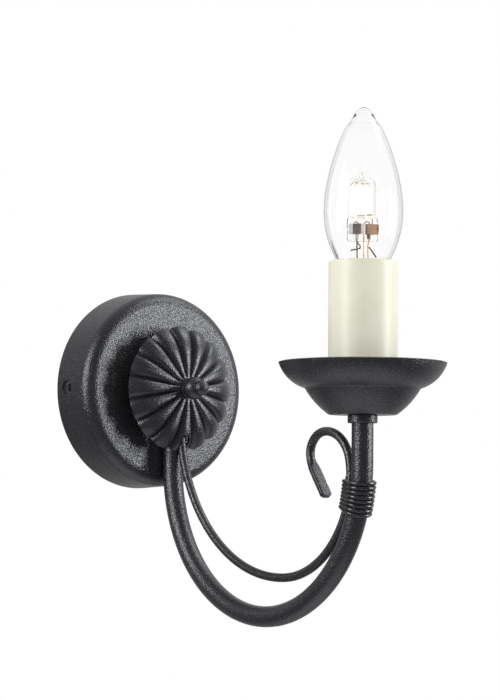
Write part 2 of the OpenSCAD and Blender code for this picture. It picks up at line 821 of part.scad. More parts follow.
module drip_pan() {
    outer = pan_outline();
    inner = inset(outer, pan_wall);
    back = [for (i = [len(outer) - 1 : -1 : 0]) [i == 0 ? outer[0].x : inner[i].x, inner[i].y]];
    color("dimgray") on_axis(pan_base_z) rotate_extrude($fn = 128) polygon(concat(outer, back));
}

module pan_washer() {
    color("silver") on_axis(pan_floor_z) ring(pan_nut_af / 2 + 1.5, nipple_r + loose_gap, pan_washer_t);
}

module pan_nut() {
    color("silver") on_axis(pan_nut_z) hex_nut(pan_nut_af, nipple_r + fit_gap, pan_nut_h);
}

module holder_nipple() {
    color("silver") on_axis(nipple_bottom) ring(nipple_r, nipple_bore_d / 2, nipple_top - nipple_bottom);
}

module lampholder_cup() {
    color("white") on_axis(holder_z) difference() {
        union() {
            cylinder(r = sleeve_r - 0.1, h = flange_t);
            cylinder(r = holder_r, h = holder_cup_h);
        }
        translate([0, 0, -1]) cylinder(r = nipple_r + fit_gap, h = 6);
        translate([0, 0, 5]) cylinder(r = nipple_bore_d / 2 + 2, h = block_seat_z - holder_z);
        translate([0, 0, block_seat_z - holder_z]) cylinder(r = holder_r - holder_wall, h = holder_cup_h);
    }
}

module lampholder_barrel() {
    color("white") on_axis(cup_top) difference() {
        cylinder(r = holder_r, h = holder_top - cup_top);
        translate([0, 0, -1]) cylinder(r = cap_bore_r, h = holder_top - cup_top + 2);
        translate([0, 0, skirt_z - cup_top - 1]) cylinder(r = skirt_r + 0.5, h = holder_top - skirt_z + 2);
        translate([-contact_slot.x / 2, -cap_bore_r - 1.2, -1]) cube(contact_slot + [0, 0, 1]);
    }
}

module contact_block() {
    color("ivory") on_axis(block_seat_z) difference() {
        cylinder(r = holder_r - holder_wall - fit_gap, h = contact_block_h);
        for (s = [-1, 1]) translate([s * core_offset, 0, -1]) cylinder(r = core_d / 2 + fit_gap, h = 5);
    }
}

module centre_contact() {
    leaf = [4.6, 3, 0.4];
    color("gold") on_axis(contact_top) {
        translate([0, -leaf.y / 2, 0]) cube(leaf);
        cylinder(d = leaf.y, h = lamp_z - contact_top - fit_gap);
    }
}

module side_contact() {
    w = 3;
    t = 0.5;
    back_y = -cap_bore_r - 0.8;
    rise = cap_bottom - contact_top;
    color("gold") on_axis(contact_top) translate([-w / 2, back_y, 0]) {
        cube([w, t, rise + 5]);
        cube([w, w, t]);
        translate([0, 0.4, rise + 3]) cube([w, 0.4 + slide_gap - loose_gap, 2]);
    }
}

module candle_sleeve() {
    color("ivory") on_axis(flange_top) ring(sleeve_r, sleeve_bore_r, sleeve_len);
}

module lamp_cap() {
    outer = [[cap_r - 3, cap_bottom - 0.6], [cap_r, cap_bottom + 1], [cap_r, skirt_z],
        [skirt_r, skirt_z + 2], [skirt_r, cap_top]];
    inner = [[skirt_r - cap_t, cap_top], [skirt_r - cap_t, skirt_z + 2.1],
        [cap_r - cap_t, skirt_z + 0.1], [cap_r - cap_t, cap_bottom + 1.2], [cap_r - 3, cap_bottom - 0.1]];
    color("silver") on_axis() rotate_extrude() polygon(concat(outer, inner));
}

module cap_insulator() {
    color("black") on_axis(lamp_z + 1) difference() {
        cylinder(r1 = 3, r2 = cap_r - 3 - fit_gap, h = cap_bottom - lamp_z);
        translate([0, 0, 1]) cylinder(r = 1, h = 4);
    }
}

module cap_contact() {
    color("silver") on_axis(lamp_z) cylinder(d = 4.4, h = 1);
}

// Outline of the glass, from its neck in the cap up to its tip
function glass_outline(shrink) =
    let (
        belly = [glass_d / 2 - shrink, belly_z],
        neck = [neck_r - shrink, neck_z + 3]
    )
    concat(
        [[neck.x, neck_z]],
        curve_points(neck, neck + neck_pull, belly - [0, belly_pull], belly, 10),
        curve_points(belly, belly + [0, tip_pull], [tip_round - shrink, tip_z - shrink],
            [0, tip_z - shrink], 14, 1)
    );

module lamp_glass() {
    color("lightcyan", 0.4) on_axis() difference() {
        rotate_extrude() polygon(concat([[0, neck_z]], glass_outline(0)));
        rotate_extrude() polygon(concat([[0, neck_z - 1], [neck_r - glass_wall, neck_z - 1]],
            glass_outline(glass_wall)));
    }
}

module glass_stem() {
    color("lightcyan", 0.4) on_axis(neck_z) {
        ring(neck_r - glass_wall - fit_gap, neck_r - glass_wall - 1.2, 1.5);
        translate([0, 0, 0.5]) cylinder(r = neck_r - glass_wall - 1, h = 0.8);
        cylinder(r = 2.6, h = stem_h);
    }
}

module halogen_capsule() {
    r = capsule_d / 2;
    pinch = [8.8, 3.2, pinch_h];
    color("white", 0.6) on_axis(capsule_z) {
        difference() {
            union() {
                cylinder(r = r, h = capsule_len - r);
                translate([0, 0, capsule_len - r]) sphere(r = r);
            }
            translate([0, 0, 1]) cylinder(r = r - 1, h = capsule_len - r - 1);
            translate([0, 0, capsule_len - r]) sphere(r = r - 1);
        }
        translate([-pinch.x / 2, -pinch.y / 2, -pinch.z]) cube([pinch.x, pinch.y, pinch.z + lap]);
    }
}

module filament() {
    color("gold") on_axis(capsule_z + 1) {
        translate([-3, 0, 7]) rotate([0, 90, 0]) cylinder(d = 1.4, h = 6);
        for (s = [-1, 1]) translate([s * 2.6, 0, 0]) cylinder(d = 0.8, h = 7);
    }
}

module support_wires() {
    foot = neck_z + stem_h + 0.15 - capsule_z;
    pinch_end = -pinch_h - 0.1;
    color("silver") on_axis(capsule_z) {
        for (s = [-1, 1]) bar([s * 1.2, 0, foot], [s * 2.4, 0, pinch_end], 0.8);
        bar([0, 1.6, foot], [5.4, 2.2, foot + 8], 0.7);
    }
}

// Two equal arcs, seen from the front, that carry a wire from x = from down to x = to
module wire_shift(from, to, top, r) {
    s = sign(from - to);
    turn = acos(1 - abs(from - to) / 2 / r);
    drop = r * sin(turn);
    rotate([90, 0, 0]) {
        arc_bar([from - s * r, top], r, s > 0 ? -turn : 180, turn, core_d, lap);
        arc_bar([to + s * r, top - 2 * drop], r, s > 0 ? 180 - turn : 0, turn, core_d, lap);
        bend_pin([from, top], -90, core_d);
        bend_pin([(from + to) / 2, top - drop], -90 - s * turn, core_d);
        bend_pin([to, top - 2 * drop], -90, core_d);
    }
}

// A lamp wire: from its pole, through the plate and the arm, up to the lampholder
module lamp_wire(pole, x) {
    shift_top = block_z - 1;
    shift_r = 9;
    shift_drop = 2 * shift_r * sin(acos(1 - abs(pole_x(pole) - x) / 2 / shift_r));
    down = [wire_y, -wire_hole_drop + core_bend];
    turn_out = [wire_y + core_bend, -wire_hole_drop];
    turn_down = [leg_y, -wire_hole_drop - core_bend];
    translate([pole_x(pole), -wire_y, shift_top]) cylinder(d = core_d, h = 5);
    translate([0, -wire_y, 0]) wire_shift(pole_x(pole), x, shift_top, shift_r);
    translate([x, -wire_y, down.y]) cylinder(d = core_d, h = shift_top - shift_drop - down.y);
    translate([x, 0, 0]) upright() {
        arc_bar([down.x + core_bend, down.y], core_bend, 180, 90, core_d);
        translate([turn_out.x, turn_out.y, 0]) rotate([0, 90, 0])
            cylinder(d = core_d, h = leg_y - core_bend - turn_out.x);
        arc_bar([leg_y - core_bend, turn_down.y], core_bend, 0, 90, core_d);
        translate([leg_y, -arm_drop, 0]) rotate([-90, 0, 0]) cylinder(d = core_d, h = arm_drop + turn_down.y);
        arc_bar(arm_centre, arm_r, 180, 180, core_d);
        translate([axis_y, -arm_drop, 0]) rotate([-90, 0, 0])
            cylinder(d = core_d, h = arm_drop + block_seat_z + core_end);
    }
}

module live_wire() {
    color("saddlebrown") lamp_wire(poles - 1, core_offset);
}

module neutral_wire() {
    color("steelblue") lamp_wire(1, -core_offset);
}

module earth_wire() {
    entry_z = earth_head_d / 2 + 1.3;
    entry_y = strap_t + core_d / 2 + 0.4;
    color("yellowgreen") bent_bar([
        [pole_x(0), -wire_y, block_z + 4],
        [pole_x(0), -wire_y, block_z - 2],
        [earth_x, -entry_y, entry_z + 4],
        [earth_x, -entry_y, entry_z]
    ], core_d);
}

back_plate();
wall_bracket();
cover_screws();
terminal_block();
terminal_clamps();
terminal_screws();
block_screw();
earth_screw();
earth_ring();
wire_grommet();
arm_tube();
fixing_stud();
stud_nut();
stud_washer();
stud_spacer();
rosette();
finial();
scroll_rod();
binding_wire();
pan_collar();
drip_pan();
pan_washer();
pan_nut();
holder_nipple();
lampholder_cup();
lampholder_barrel();
contact_block();
centre_contact();
side_contact();
candle_sleeve();
lamp_cap();
cap_insulator();
cap_contact();
lamp_glass();
glass_stem();
halogen_capsule();
filament();
support_wires();
live_wire();
neutral_wire();
earth_wire();
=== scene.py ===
import json
import math

import bpy
from mathutils import Matrix, Vector, noise


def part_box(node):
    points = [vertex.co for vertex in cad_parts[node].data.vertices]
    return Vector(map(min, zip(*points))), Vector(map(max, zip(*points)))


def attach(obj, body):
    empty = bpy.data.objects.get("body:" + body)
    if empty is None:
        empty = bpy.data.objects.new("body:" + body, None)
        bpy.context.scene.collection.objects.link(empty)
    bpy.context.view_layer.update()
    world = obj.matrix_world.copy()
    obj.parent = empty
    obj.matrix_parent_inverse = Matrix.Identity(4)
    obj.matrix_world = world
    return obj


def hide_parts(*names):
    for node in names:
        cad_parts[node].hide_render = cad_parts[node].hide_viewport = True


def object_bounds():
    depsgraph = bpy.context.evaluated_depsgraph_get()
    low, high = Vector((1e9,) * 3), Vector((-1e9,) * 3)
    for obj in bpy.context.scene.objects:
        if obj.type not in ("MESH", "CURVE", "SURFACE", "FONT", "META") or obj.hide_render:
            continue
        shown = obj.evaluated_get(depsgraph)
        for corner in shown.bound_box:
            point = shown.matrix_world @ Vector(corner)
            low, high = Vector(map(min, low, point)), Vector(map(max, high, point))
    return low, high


mm = 0.001  # lengths in the pieces' dictionaries are millimetres
poleRadius = 0.02  # a turned piece is this wide where it closes on its axis

print("loading the frame")
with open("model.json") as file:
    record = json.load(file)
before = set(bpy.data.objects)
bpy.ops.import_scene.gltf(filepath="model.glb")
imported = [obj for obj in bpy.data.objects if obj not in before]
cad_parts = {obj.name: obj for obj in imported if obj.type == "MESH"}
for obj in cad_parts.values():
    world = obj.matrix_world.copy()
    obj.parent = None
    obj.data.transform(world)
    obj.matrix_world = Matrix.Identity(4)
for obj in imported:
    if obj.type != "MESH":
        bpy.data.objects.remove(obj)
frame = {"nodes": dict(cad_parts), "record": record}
cadLow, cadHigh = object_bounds()

# The frame's main places, in millimetres
sleeveLow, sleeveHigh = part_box("candle_sleeve")
tubeLow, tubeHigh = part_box("arm_tube")
finialLow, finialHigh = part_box("finial")
candleY = (sleeveLow.y + sleeveHigh.y) / 2 / mm
tubeRadius = (tubeHigh.x - tubeLow.x) / 2 / mm
plateDepth = -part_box("back_plate")[0].y / mm
wallLegY = plateDepth + tubeRadius
armRadius = (-candleY - wallLegY) / 2
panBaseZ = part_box("drip_pan")[0].z / mm
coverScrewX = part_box("cover_screws")[1].x / mm
rosetteFrontY, finialTipY = -finialHigh.y / mm, -finialLow.y / mm


# Object mode with nothing selected
def letGo():
    if bpy.context.mode != "OBJECT":
        bpy.ops.object.mode_set(mode="OBJECT")
    bpy.ops.object.select_all(action="DESELECT")


def pick(piece):
    letGo()
    piece.select_set(True)
    bpy.context.view_layer.objects.active = piece


def openMesh(piece, choose="SELECT"):
    pick(piece)
    bpy.ops.object.mode_set(mode="EDIT")
    bpy.ops.mesh.select_all(action=choose)


# Selects the points that pass a test, and leaves the piece open in edit mode
def choosePoints(piece, test):
    openMesh(piece, "DESELECT")
    bpy.ops.object.mode_set(mode="OBJECT")
    for point in piece.data.vertices:
        point.select = test(point.co)
    for edge in piece.data.edges:
        edge.select = all(piece.data.vertices[i].select for i in edge.vertices)
    for face in piece.data.polygons:
        face.select = all(piece.data.vertices[i].select for i in face.vertices)
    bpy.ops.object.mode_set(mode="EDIT")


def applyPlace(piece):
    pick(piece)
    bpy.ops.object.transform_apply(location=True, rotation=True, scale=True)


def addModifier(piece, kind, **settings):
    pick(piece)
    modifier = piece.modifiers.new(kind.title(), kind)
    for key, value in settings.items():
        setattr(modifier, key, value)
    bpy.ops.object.modifier_apply(modifier=modifier.name)


# Takes one piece out of another
def cutAway(piece, cutter):
    addModifier(piece, "BOOLEAN", operation="DIFFERENCE", solver="EXACT", object=cutter)
    bpy.data.objects.remove(cutter)


# Merges doubled points and turns the faces outward
def closeUp(piece):
    openMesh(piece)
    bpy.ops.mesh.remove_doubles(threshold=0.002 * mm)
    bpy.ops.mesh.normals_make_consistent(inside=False)
    bpy.ops.object.mode_set(mode="OBJECT")


# Gives a piece its name and finish, and sets it on its body in place of the nodes it stands for
def finishPiece(piece, name, body, material, stands=(), angle=40):
    applyPlace(piece)
    piece.name = name
    piece.data.name = name
    bpy.ops.object.shade_smooth_by_angle(angle=math.radians(angle))
    piece.data.materials.clear()
    piece.data.materials.append(material)
    if stands:
        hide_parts(*stands)
    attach(piece, body)


# From 0 at the low value to 1 at the high one, with soft ends
def ease(value, low, high):
    t = min(max((value - low) / (high - low), 0), 1)
    return t * t * (3 - 2 * t)


# Points of a round arc, as radius and height, from one angle to another
def arcPoints(centre, radius, fromAngle, toAngle, steps):
    points = []
    for i in range(steps + 1):
        angle = math.radians(fromAngle + (toAngle - fromAngle) * i / steps)
        points.append((centre[0] + radius * math.cos(angle), centre[1] + radius * math.sin(angle)))
    return points


# Points of an arc between two points that bulges outward by a sagitta
def bulgePoints(start, end, bulge, steps):
    a, b = Vector(start), Vector(end)
    chord = (b - a).length
    radius = ((chord / 2) ** 2 + bulge**2) / (2 * bulge)
    along = (b - a) / chord
    side = Vector((along.y, -along.x))
    centre = (a + b) / 2 + side * (bulge - radius)
    half = math.asin(chord / 2 / radius)
    points = []
    for i in range(steps + 1):
        turn = -half + 2 * half * i / steps
        points.append(tuple(centre + radius * (side * math.cos(turn) + along * math.sin(turn))))
    return points


# Draws out what is selected, straight up or down
def drawOut(rise):
    bpy.ops.mesh.extrude_region_move(TRANSFORM_OT_translate={"value": (0, 0, rise * mm)})


# A turned piece: a ring that is drawn out and resized from each point of a profile to the next
def turnPiece(profile, sides):
    letGo()
    radius, height = profile[0]
    bpy.ops.mesh.primitive_circle_add(vertices=sides, radius=radius * mm, location=(0, 0, height * mm))
    piece = bpy.context.active_object
    applyPlace(piece)
    openMesh(piece)
    for before, after in zip(profile, profile[1:]):
        drawOut(after[1] - before[1])
        share = after[0] / before[0]
        bpy.ops.transform.resize(value=(share, share, 1), center_override=(0, 0, 0))
    if max(profile[0][0], profile[-1][0]) <= poleRadius:
        bpy.ops.mesh.select_all(action="SELECT")
        bpy.ops.mesh.fill_holes(sides=0)
    bpy.ops.object.mode_set(mode="OBJECT")
    closeUp(piece)
    return piece


# A cylinder that cuts a round hole, out from the wall or across the lamp
def holeCutter(diameter, length, place, sides, across=False):
    turn = (0, math.radians(90), 0) if across else (math.radians(90), 0, 0)
    bpy.ops.mesh.primitive_cylinder_add(
        vertices=sides, radius=diameter / 2 * mm, depth=length * mm, location=place, rotation=turn
    )
    return bpy.context.active_object


# Stands a turned piece on the candle's axis
def onCandleAxis(piece, height=0):
    piece.location = (0, candleY * mm, height * mm)
    applyPlace(piece)


# Turns a piece so that its own height points out from the wall
def outFromWall(piece, distance=0):
    piece.rotation_euler = (math.radians(90), 0, 0)
    piece.location = (0, -distance * mm, 0)
    applyPlace(piece)


# A point of the lamp's upright plane: distance from the wall, then height
def upright(out, up, across=0):
    return Vector((across * mm, -out * mm, up * mm))


# A tube along a list of points
def wirePiece(points, diameter, sides=8):
    letGo()
    curve = bpy.data.curves.new("wire", "CURVE")
    curve.dimensions = "3D"
    spline = curve.splines.new("POLY")
    spline.points.add(len(points) - 1)
    for place, point in zip(spline.points, points):
        place.co = (*point, 1)
    curve.bevel_depth = diameter / 2 * mm
    curve.bevel_resolution = max(sides // 4 - 1, 0)
    curve.use_fill_caps = True
    piece = bpy.data.objects.new("wire", curve)
    bpy.context.scene.collection.objects.link(piece)
    pick(piece)
    bpy.ops.object.convert(target="MESH")
    piece = bpy.context.active_object
    closeUp(piece)
    return piece


# Points of a smooth curve through a few chosen points
def smoothPath(points):
    steps = 6  # from each chosen point to the next
    path = []
    for i in range(len(points) - 1):
        before = Vector(points[max(i - 1, 0)])
        a, b = Vector(points[i]), Vector(points[i + 1])
        after = Vector(points[min(i + 2, len(points) - 1)])
        for k in range(steps):
            t = k / steps
            path.append(
                0.5 * (2 * a + (b - before) * t + (2 * before - 5 * a + 4 * b - after) * t**2
                       + (3 * a - before - 3 * b + after) * t**3)
            )
    path.append(Vector(points[-1]))
    return path


print("materials")


# A material with its shader, and the node tree to add to
def newMaterial(name, colour, roughness, metallic=0.0):
    material = bpy.data.materials.new(name)
    material.use_nodes = True
    shader = material.node_tree.nodes["Principled BSDF"]
    shader.inputs["Base Color"].default_value = (*colour, 1)
    shader.inputs["Roughness"].default_value = roughness
    shader.inputs["Metallic"].default_value = metallic
    return material, shader


def objectNoise(material, scale, detail=2.0, roughness=0.5):
    nodes, links = material.node_tree.nodes, material.node_tree.links
    place = nodes.new("ShaderNodeTexCoord")
    pattern = nodes.new("ShaderNodeTexNoise")
    pattern.inputs["Scale"].default_value = scale
    pattern.inputs["Detail"].default_value = detail
    pattern.inputs["Roughness"].default_value = roughness
    links.new(place.outputs["Object"], pattern.inputs["Vector"])
    return pattern.outputs["Fac"]


def spread(material, value, low, high, toLow=0.0, toHigh=1.0):
    node = material.node_tree.nodes.new("ShaderNodeMapRange")
    node.inputs["From Min"].default_value = low
    node.inputs["From Max"].default_value = high
    node.inputs["To Min"].default_value = toLow
    node.inputs["To Max"].default_value = toHigh
    material.node_tree.links.new(value, node.inputs["Value"])
    return node.outputs["Result"]


def colourBetween(material, value, dark, light):
    node = material.node_tree.nodes.new("ShaderNodeMix")
    node.data_type = "RGBA"
    node.inputs["A"].default_value = (*dark, 1)
    node.inputs["B"].default_value = (*light, 1)
    material.node_tree.links.new(value, node.inputs["Factor"])
    return node.outputs["Result"]


def addBump(material, shader, height, depth, strength, under=None):
    node = material.node_tree.nodes.new("ShaderNodeBump")
    node.inputs["Strength"].default_value = strength
    node.inputs["Distance"].default_value = depth * mm
    material.node_tree.links.new(height, node.inputs["Height"])
    if under:
        material.node_tree.links.new(under, node.inputs["Normal"])
    material.node_tree.links.new(node.outputs["Normal"], shader.inputs["Normal"])
    return node.outputs["Normal"]


coat = {
    "dark": (0.0115, 0.0115, 0.0132),
    "light": (0.03, 0.03, 0.034),
    "flecks": (0.5, 0.75),  # levels of the grain between which dark turns to light
    "specular": 1.0,
    "index": 1.6,
    "specularTint": (0.92, 0.94, 1.0),
    "roughness": (0.35, 0.25),  # in the hollows and on the grains
    "grain": 1350,  # sand grains, per metre
    "grainDepth": 0.27,
    "ripple": 420,  # slower waves in the coat
    "rippleDepth": 0.05,
}


# Sand-textured charcoal powder coat. Depth, lift and rough change its grain, its light flecks
# and its roughness against the plate's.
def makeCoat(name, depth=1.0, lift=1.0, rough=1.0):
    light = tuple(value * lift for value in coat["light"])
    hollow, top = (value * rough for value in coat["roughness"])
    material, shader = newMaterial(name, coat["dark"], hollow)
    links = material.node_tree.links
    grain = objectNoise(material, coat["grain"], 1.5, 0.6)
    ripple = objectNoise(material, coat["ripple"])
    fleck = spread(material, grain, *coat["flecks"])
    links.new(colourBetween(material, fleck, coat["dark"], light), shader.inputs["Base Color"])
    links.new(spread(material, grain, 0.35, 0.65, hollow, top), shader.inputs["Roughness"])
    waves = addBump(material, shader, ripple, coat["rippleDepth"], 0.6)
    addBump(material, shader, grain, coat["grainDepth"] * depth, 1.0, waves)
    shader.inputs["IOR"].default_value = coat["index"]
    shader.inputs["Specular IOR Level"].default_value = coat["specular"]
    shader.inputs["Specular Tint"].default_value = (*coat["specularTint"], 1)
    return material


charcoalCoat = makeCoat("charcoal_coat")
pressedCoat = makeCoat("pressed_coat", depth=0.7)
# the binding wire's coat: smoother, and its light flecks lifted as a painted highlight that lightens the
# whole wire
smoothCoat = makeCoat("smooth_coat", depth=0.3, lift=1.8, rough=0.85)
forgedCoat = makeCoat("forged_coat", depth=0.9, lift=1.5)

candle = {
    "shade": (0.79, 0.78, 0.63),
    "light": (0.83, 0.82, 0.68),
    "roughness": 0.4,
    "specular": 0.7,
    "mottle": 90,  # clouds of the lighter ivory, per metre
    "grain": 500,
    "grainDepth": 0.02,
    "soak": 0.15,  # share of the light that sinks in
    "soakReach": (1.0, 0.8, 0.5),  # how far, for red, green and blue
}


# Ivory candle tube with a waxy sheen
def makeCandle():
    material, shader = newMaterial("ivory_candle", candle["shade"], candle["roughness"])
    mottle = spread(material, objectNoise(material, candle["mottle"], 3.0), 0.35, 0.65)
    ivory = colourBetween(material, mottle, candle["shade"], candle["light"])
    material.node_tree.links.new(ivory, shader.inputs["Base Color"])
    addBump(material, shader, objectNoise(material, candle["grain"]), candle["grainDepth"], 0.4)
    shader.inputs["Specular IOR Level"].default_value = candle["specular"]
    shader.inputs["Subsurface Weight"].default_value = candle["soak"]
    shader.inputs["Subsurface Radius"].default_value = candle["soakReach"]
    shader.inputs["Subsurface Scale"].default_value = mm
    return material


ivoryCandle = makeCandle()


# Plain plastics, metals and rubber, each with its own grain
def makePlain(name, colour, lighter, roughness, metallic, grain, depth):
    material, shader = newMaterial(name, colour, roughness, metallic)
    pattern = objectNoise(material, grain, 3.0)
    even = spread(material, pattern, 0.3, 0.7)
    material.node_tree.links.new(colourBetween(material, even, colour, lighter), shader.inputs["Base Color"])
    rough = spread(material, pattern, 0.3, 0.7, roughness * 0.8, min(roughness * 1.25, 1))
    material.node_tree.links.new(rough, shader.inputs["Roughness"])
    addBump(material, shader, pattern, depth, 0.5)
    return material


zincSteel = makePlain("zinc_steel", (0.52, 0.53, 0.56), (0.68, 0.68, 0.66), 0.34, 1.0, 420, 0.02)
yellowBrass = makePlain("yellow_brass", (0.62, 0.43, 0.16), (0.74, 0.56, 0.25), 0.3, 1.0, 500, 0.015)
holderPlastic = makePlain("holder_plastic", (0.78, 0.77, 0.72), (0.84, 0.83, 0.79), 0.42, 0.0, 900, 0.02)
blockPlastic = makePlain("block_plastic", (0.74, 0.74, 0.72), (0.82, 0.82, 0.8), 0.38, 0.0, 800, 0.02)
blackRubber = makePlain("black_rubber", (0.018, 0.018, 0.018), (0.035, 0.035, 0.035), 0.7, 0.0, 1500, 0.03)
capAluminium = makePlain("cap_aluminium", (0.72, 0.73, 0.74), (0.82, 0.82, 0.82), 0.26, 1.0, 600, 0.015)
capVitrite = makePlain("cap_vitrite", (0.012, 0.012, 0.014), (0.03, 0.03, 0.034), 0.15, 0.0, 700, 0.01)
leadMetal = makePlain("lead_metal", (0.1, 0.055, 0.04), (0.19, 0.11, 0.08), 0.35, 1.0, 1500, 0.01)
silverClip = makePlain("silver_clip", (0.5, 0.53, 0.57), (0.66, 0.69, 0.72), 0.3, 1.0, 350, 0.02)
brownClip = makePlain("brown_clip", (0.12, 0.09, 0.08), (0.24, 0.18, 0.15), 0.35, 1.0, 300, 0.02)
copperClip = makePlain("copper_clip", (0.2, 0.13, 0.1), (0.62, 0.38, 0.24), 0.3, 1.0, 220, 0.02)
copperLead = makePlain("copper_lead", (0.5, 0.26, 0.14), (0.72, 0.42, 0.26), 0.3, 1.0, 900, 0.01)
brownWire = makePlain("brown_wire", (0.16, 0.06, 0.025), (0.2, 0.08, 0.035), 0.4, 0.0, 900, 0.02)
blueWire = makePlain("blue_wire", (0.03, 0.1, 0.42), (0.05, 0.14, 0.5), 0.4, 0.0, 900, 0.02)
earthGreen = makePlain("earth_green", (0.12, 0.32, 0.03), (0.5, 0.48, 0.03), 0.4, 0.0, 700, 0.02)


# Clear blown glass, darker towards its edge colour where the eye looks along its wall: partly the light its
# wall takes up, partly painted shade for the dark outlines that reflection and refraction give
def makeGlass(name, face, edge, edgeFrom):
    material, shader = newMaterial(name, face, 0.0)
    shader.inputs["Transmission Weight"].default_value = 1.0
    shader.inputs["IOR"].default_value = 1.45
    slant = material.node_tree.nodes.new("ShaderNodeLayerWeight")
    slant.inputs["Blend"].default_value = 0.5
    rim = spread(material, slant.outputs["Facing"], edgeFrom, 1.0)
    material.node_tree.links.new(colourBetween(material, rim, face, edge), shader.inputs["Base Color"])
    addBump(material, shader, objectNoise(material, 60, 1.0), 0.05, 0.25)
    return material


clearGlass = makeGlass("clear_glass", (1.0, 1.0, 1.0), (0.03, 0.032, 0.037), 0.62)
capsuleGlass = makeGlass("capsule_glass", (1.0, 0.99, 0.97), (0.4, 0.33, 0.27), 0.56)
stubGlass = makeGlass("stub_glass", (1.0, 0.96, 0.9), (0.4, 0.24, 0.12), 0.3)


# Painted glow: a colour that shines with its own light, for the filament, a shell round it and wires by it
def makeGlow(name, surface, glowLow, glowHigh, strength):
    material, shader = newMaterial(name, surface, 0.5)
    pattern = objectNoise(material, 700)
    even = spread(material, pattern, 0.3, 0.6)
    material.node_tree.links.new(colourBetween(material, even, glowLow, glowHigh), shader.inputs["Emission Color"])
    shader.inputs["Emission Strength"].default_value = strength
    return material


filamentGlow = makeGlow("filament_glow", (0.6, 0.5, 0.4), (1.0, 0.72, 0.4), (1.0, 0.9, 0.7), 6.0)
paintedShellGlow = makeGlow("painted_shell_glow", (0.6, 0.58, 0.54), (1.0, 0.9, 0.74), (1.0, 0.98, 0.94), 1.3)
paintedWireGlow = makeGlow("painted_wire_glow", (0.16, 0.08, 0.04), (0.4, 0.2, 0.1), (1.0, 0.5, 0.22), 0.28)

print("back plate")
plate = {
    "radius": 48,
    "frontRadius": 47,
    "shoulder": 6,
    "sheet": 1.2,
    "edge": 0.4,  # small round at the wall
    "sideHole": 7.2,
    "sideHoleY": 8,
    "wireHole": 8.4,
    "wireHoleZ": -14,
    "studHole": 6.4,
}


def makeBackPlate():
    radius, sheet, edge = plate["radius"], plate["sheet"], plate["edge"]
    shoulder, stud = plate["shoulder"], plate["studHole"] / 2
    foot = (radius - sheet, edge / 2)
    centre = (plate["frontRadius"] - shoulder, plateDepth - shoulder)
    profile = [foot, (radius - sheet + edge / 2, 0), (radius - edge, 0), (radius, edge)]
    profile += arcPoints(centre, shoulder, 0, 90, 10) + [(stud, plateDepth), (stud, plateDepth - sheet)]
    profile += arcPoints(centre, shoulder - sheet, 90, 0, 6) + [foot]
    piece = turnPiece(profile, 160)
    outFromWall(piece)
    cutAway(piece, holeCutter(plate["sideHole"], 3 * radius, upright(plate["sideHoleY"], 0), 48, True))
    cutAway(piece, holeCutter(plate["wireHole"], 8, upright(plateDepth, plate["wireHoleZ"]), 32))
    finishPiece(piece, "backPlate", "fixture", charcoalCoat, ["back_plate"], 32)


makeBackPlate()

print("side screws")
sideScrew = {
    "head": 6.2,
    "headHeight": 1.9,
    "slot": 1.3,
    "slotDepth": 1.0,
    "slotTurn": 6,  # degrees from upright
    "round": 1.3,
    "shank": 4,
    "shankLength": 5,
    "sunk": 1.3,  # deeper in its hole than the solid's screw
}


def makeSideScrew(name, side):
    outer = coverScrewX - sideScrew["sunk"]
    inner = outer - sideScrew["headHeight"]
    end = inner - sideScrew["shankLength"]
    head, shank, soft = sideScrew["head"] / 2, sideScrew["shank"] / 2, sideScrew["round"]
    profile = [(poleRadius, end), (shank, end), (shank, inner), (head, inner)]
    profile += arcPoints((head - soft, outer - soft), soft, 0, 90, 4) + [(poleRadius, outer)]
    piece = turnPiece(profile, 40)
    bpy.ops.mesh.primitive_cube_add(size=1, location=(0, 0, outer * mm))
    slotCutter = bpy.context.active_object
    slotCutter.scale = (4 * head * mm, sideScrew["slot"] * mm, 2 * sideScrew["slotDepth"] * mm)
    slotCutter.rotation_euler = (0, 0, math.radians(sideScrew["slotTurn"]))
    applyPlace(slotCutter)
    cutAway(piece, slotCutter)
    piece.rotation_euler = (0, math.radians(90 * side), 0)
    piece.location = upright(plate["sideHoleY"], 0)
    finishPiece(piece, name, "fixture", charcoalCoat, ["cover_screws"], 30)


makeSideScrew("sideScrewLeft", -1)
makeSideScrew("sideScrewRight", 1)

print("arm tube")
arm = {
    "sides": 48,
    "bendSteps": 96,
    "bore": 3.8,  # inner radius
    "top": 8,  # height of the end behind the rosette
    "bendZ": -36.8,  # height at which both legs go over into the bend
}


def makeArmTube():
    letGo()
    bendCentre = upright(wallLegY + armRadius, arm["bendZ"])
    bpy.ops.mesh.primitive_circle_add(
        vertices=arm["sides"], radius=tubeRadius * mm, location=upright(wallLegY, arm["top"])
    )
    piece = bpy.context.active_object
    applyPlace(piece)
    openMesh(piece)
    drawOut(arm["bendZ"] - arm["top"])
    bpy.ops.mesh.spin(steps=arm["bendSteps"], angle=math.pi, center=bendCentre, axis=(1, 0, 0))
    drawOut(panBaseZ - arm["bendZ"])
    bpy.ops.object.mode_set(mode="OBJECT")
    closeUp(piece)
    addModifier(piece, "SOLIDIFY", thickness=(tubeRadius - arm["bore"]) * mm, offset=-1, use_even_offset=True)
    finishPiece(piece, "armTube", "fixture", charcoalCoat, ["arm_tube"], 35)


makeArmTube()

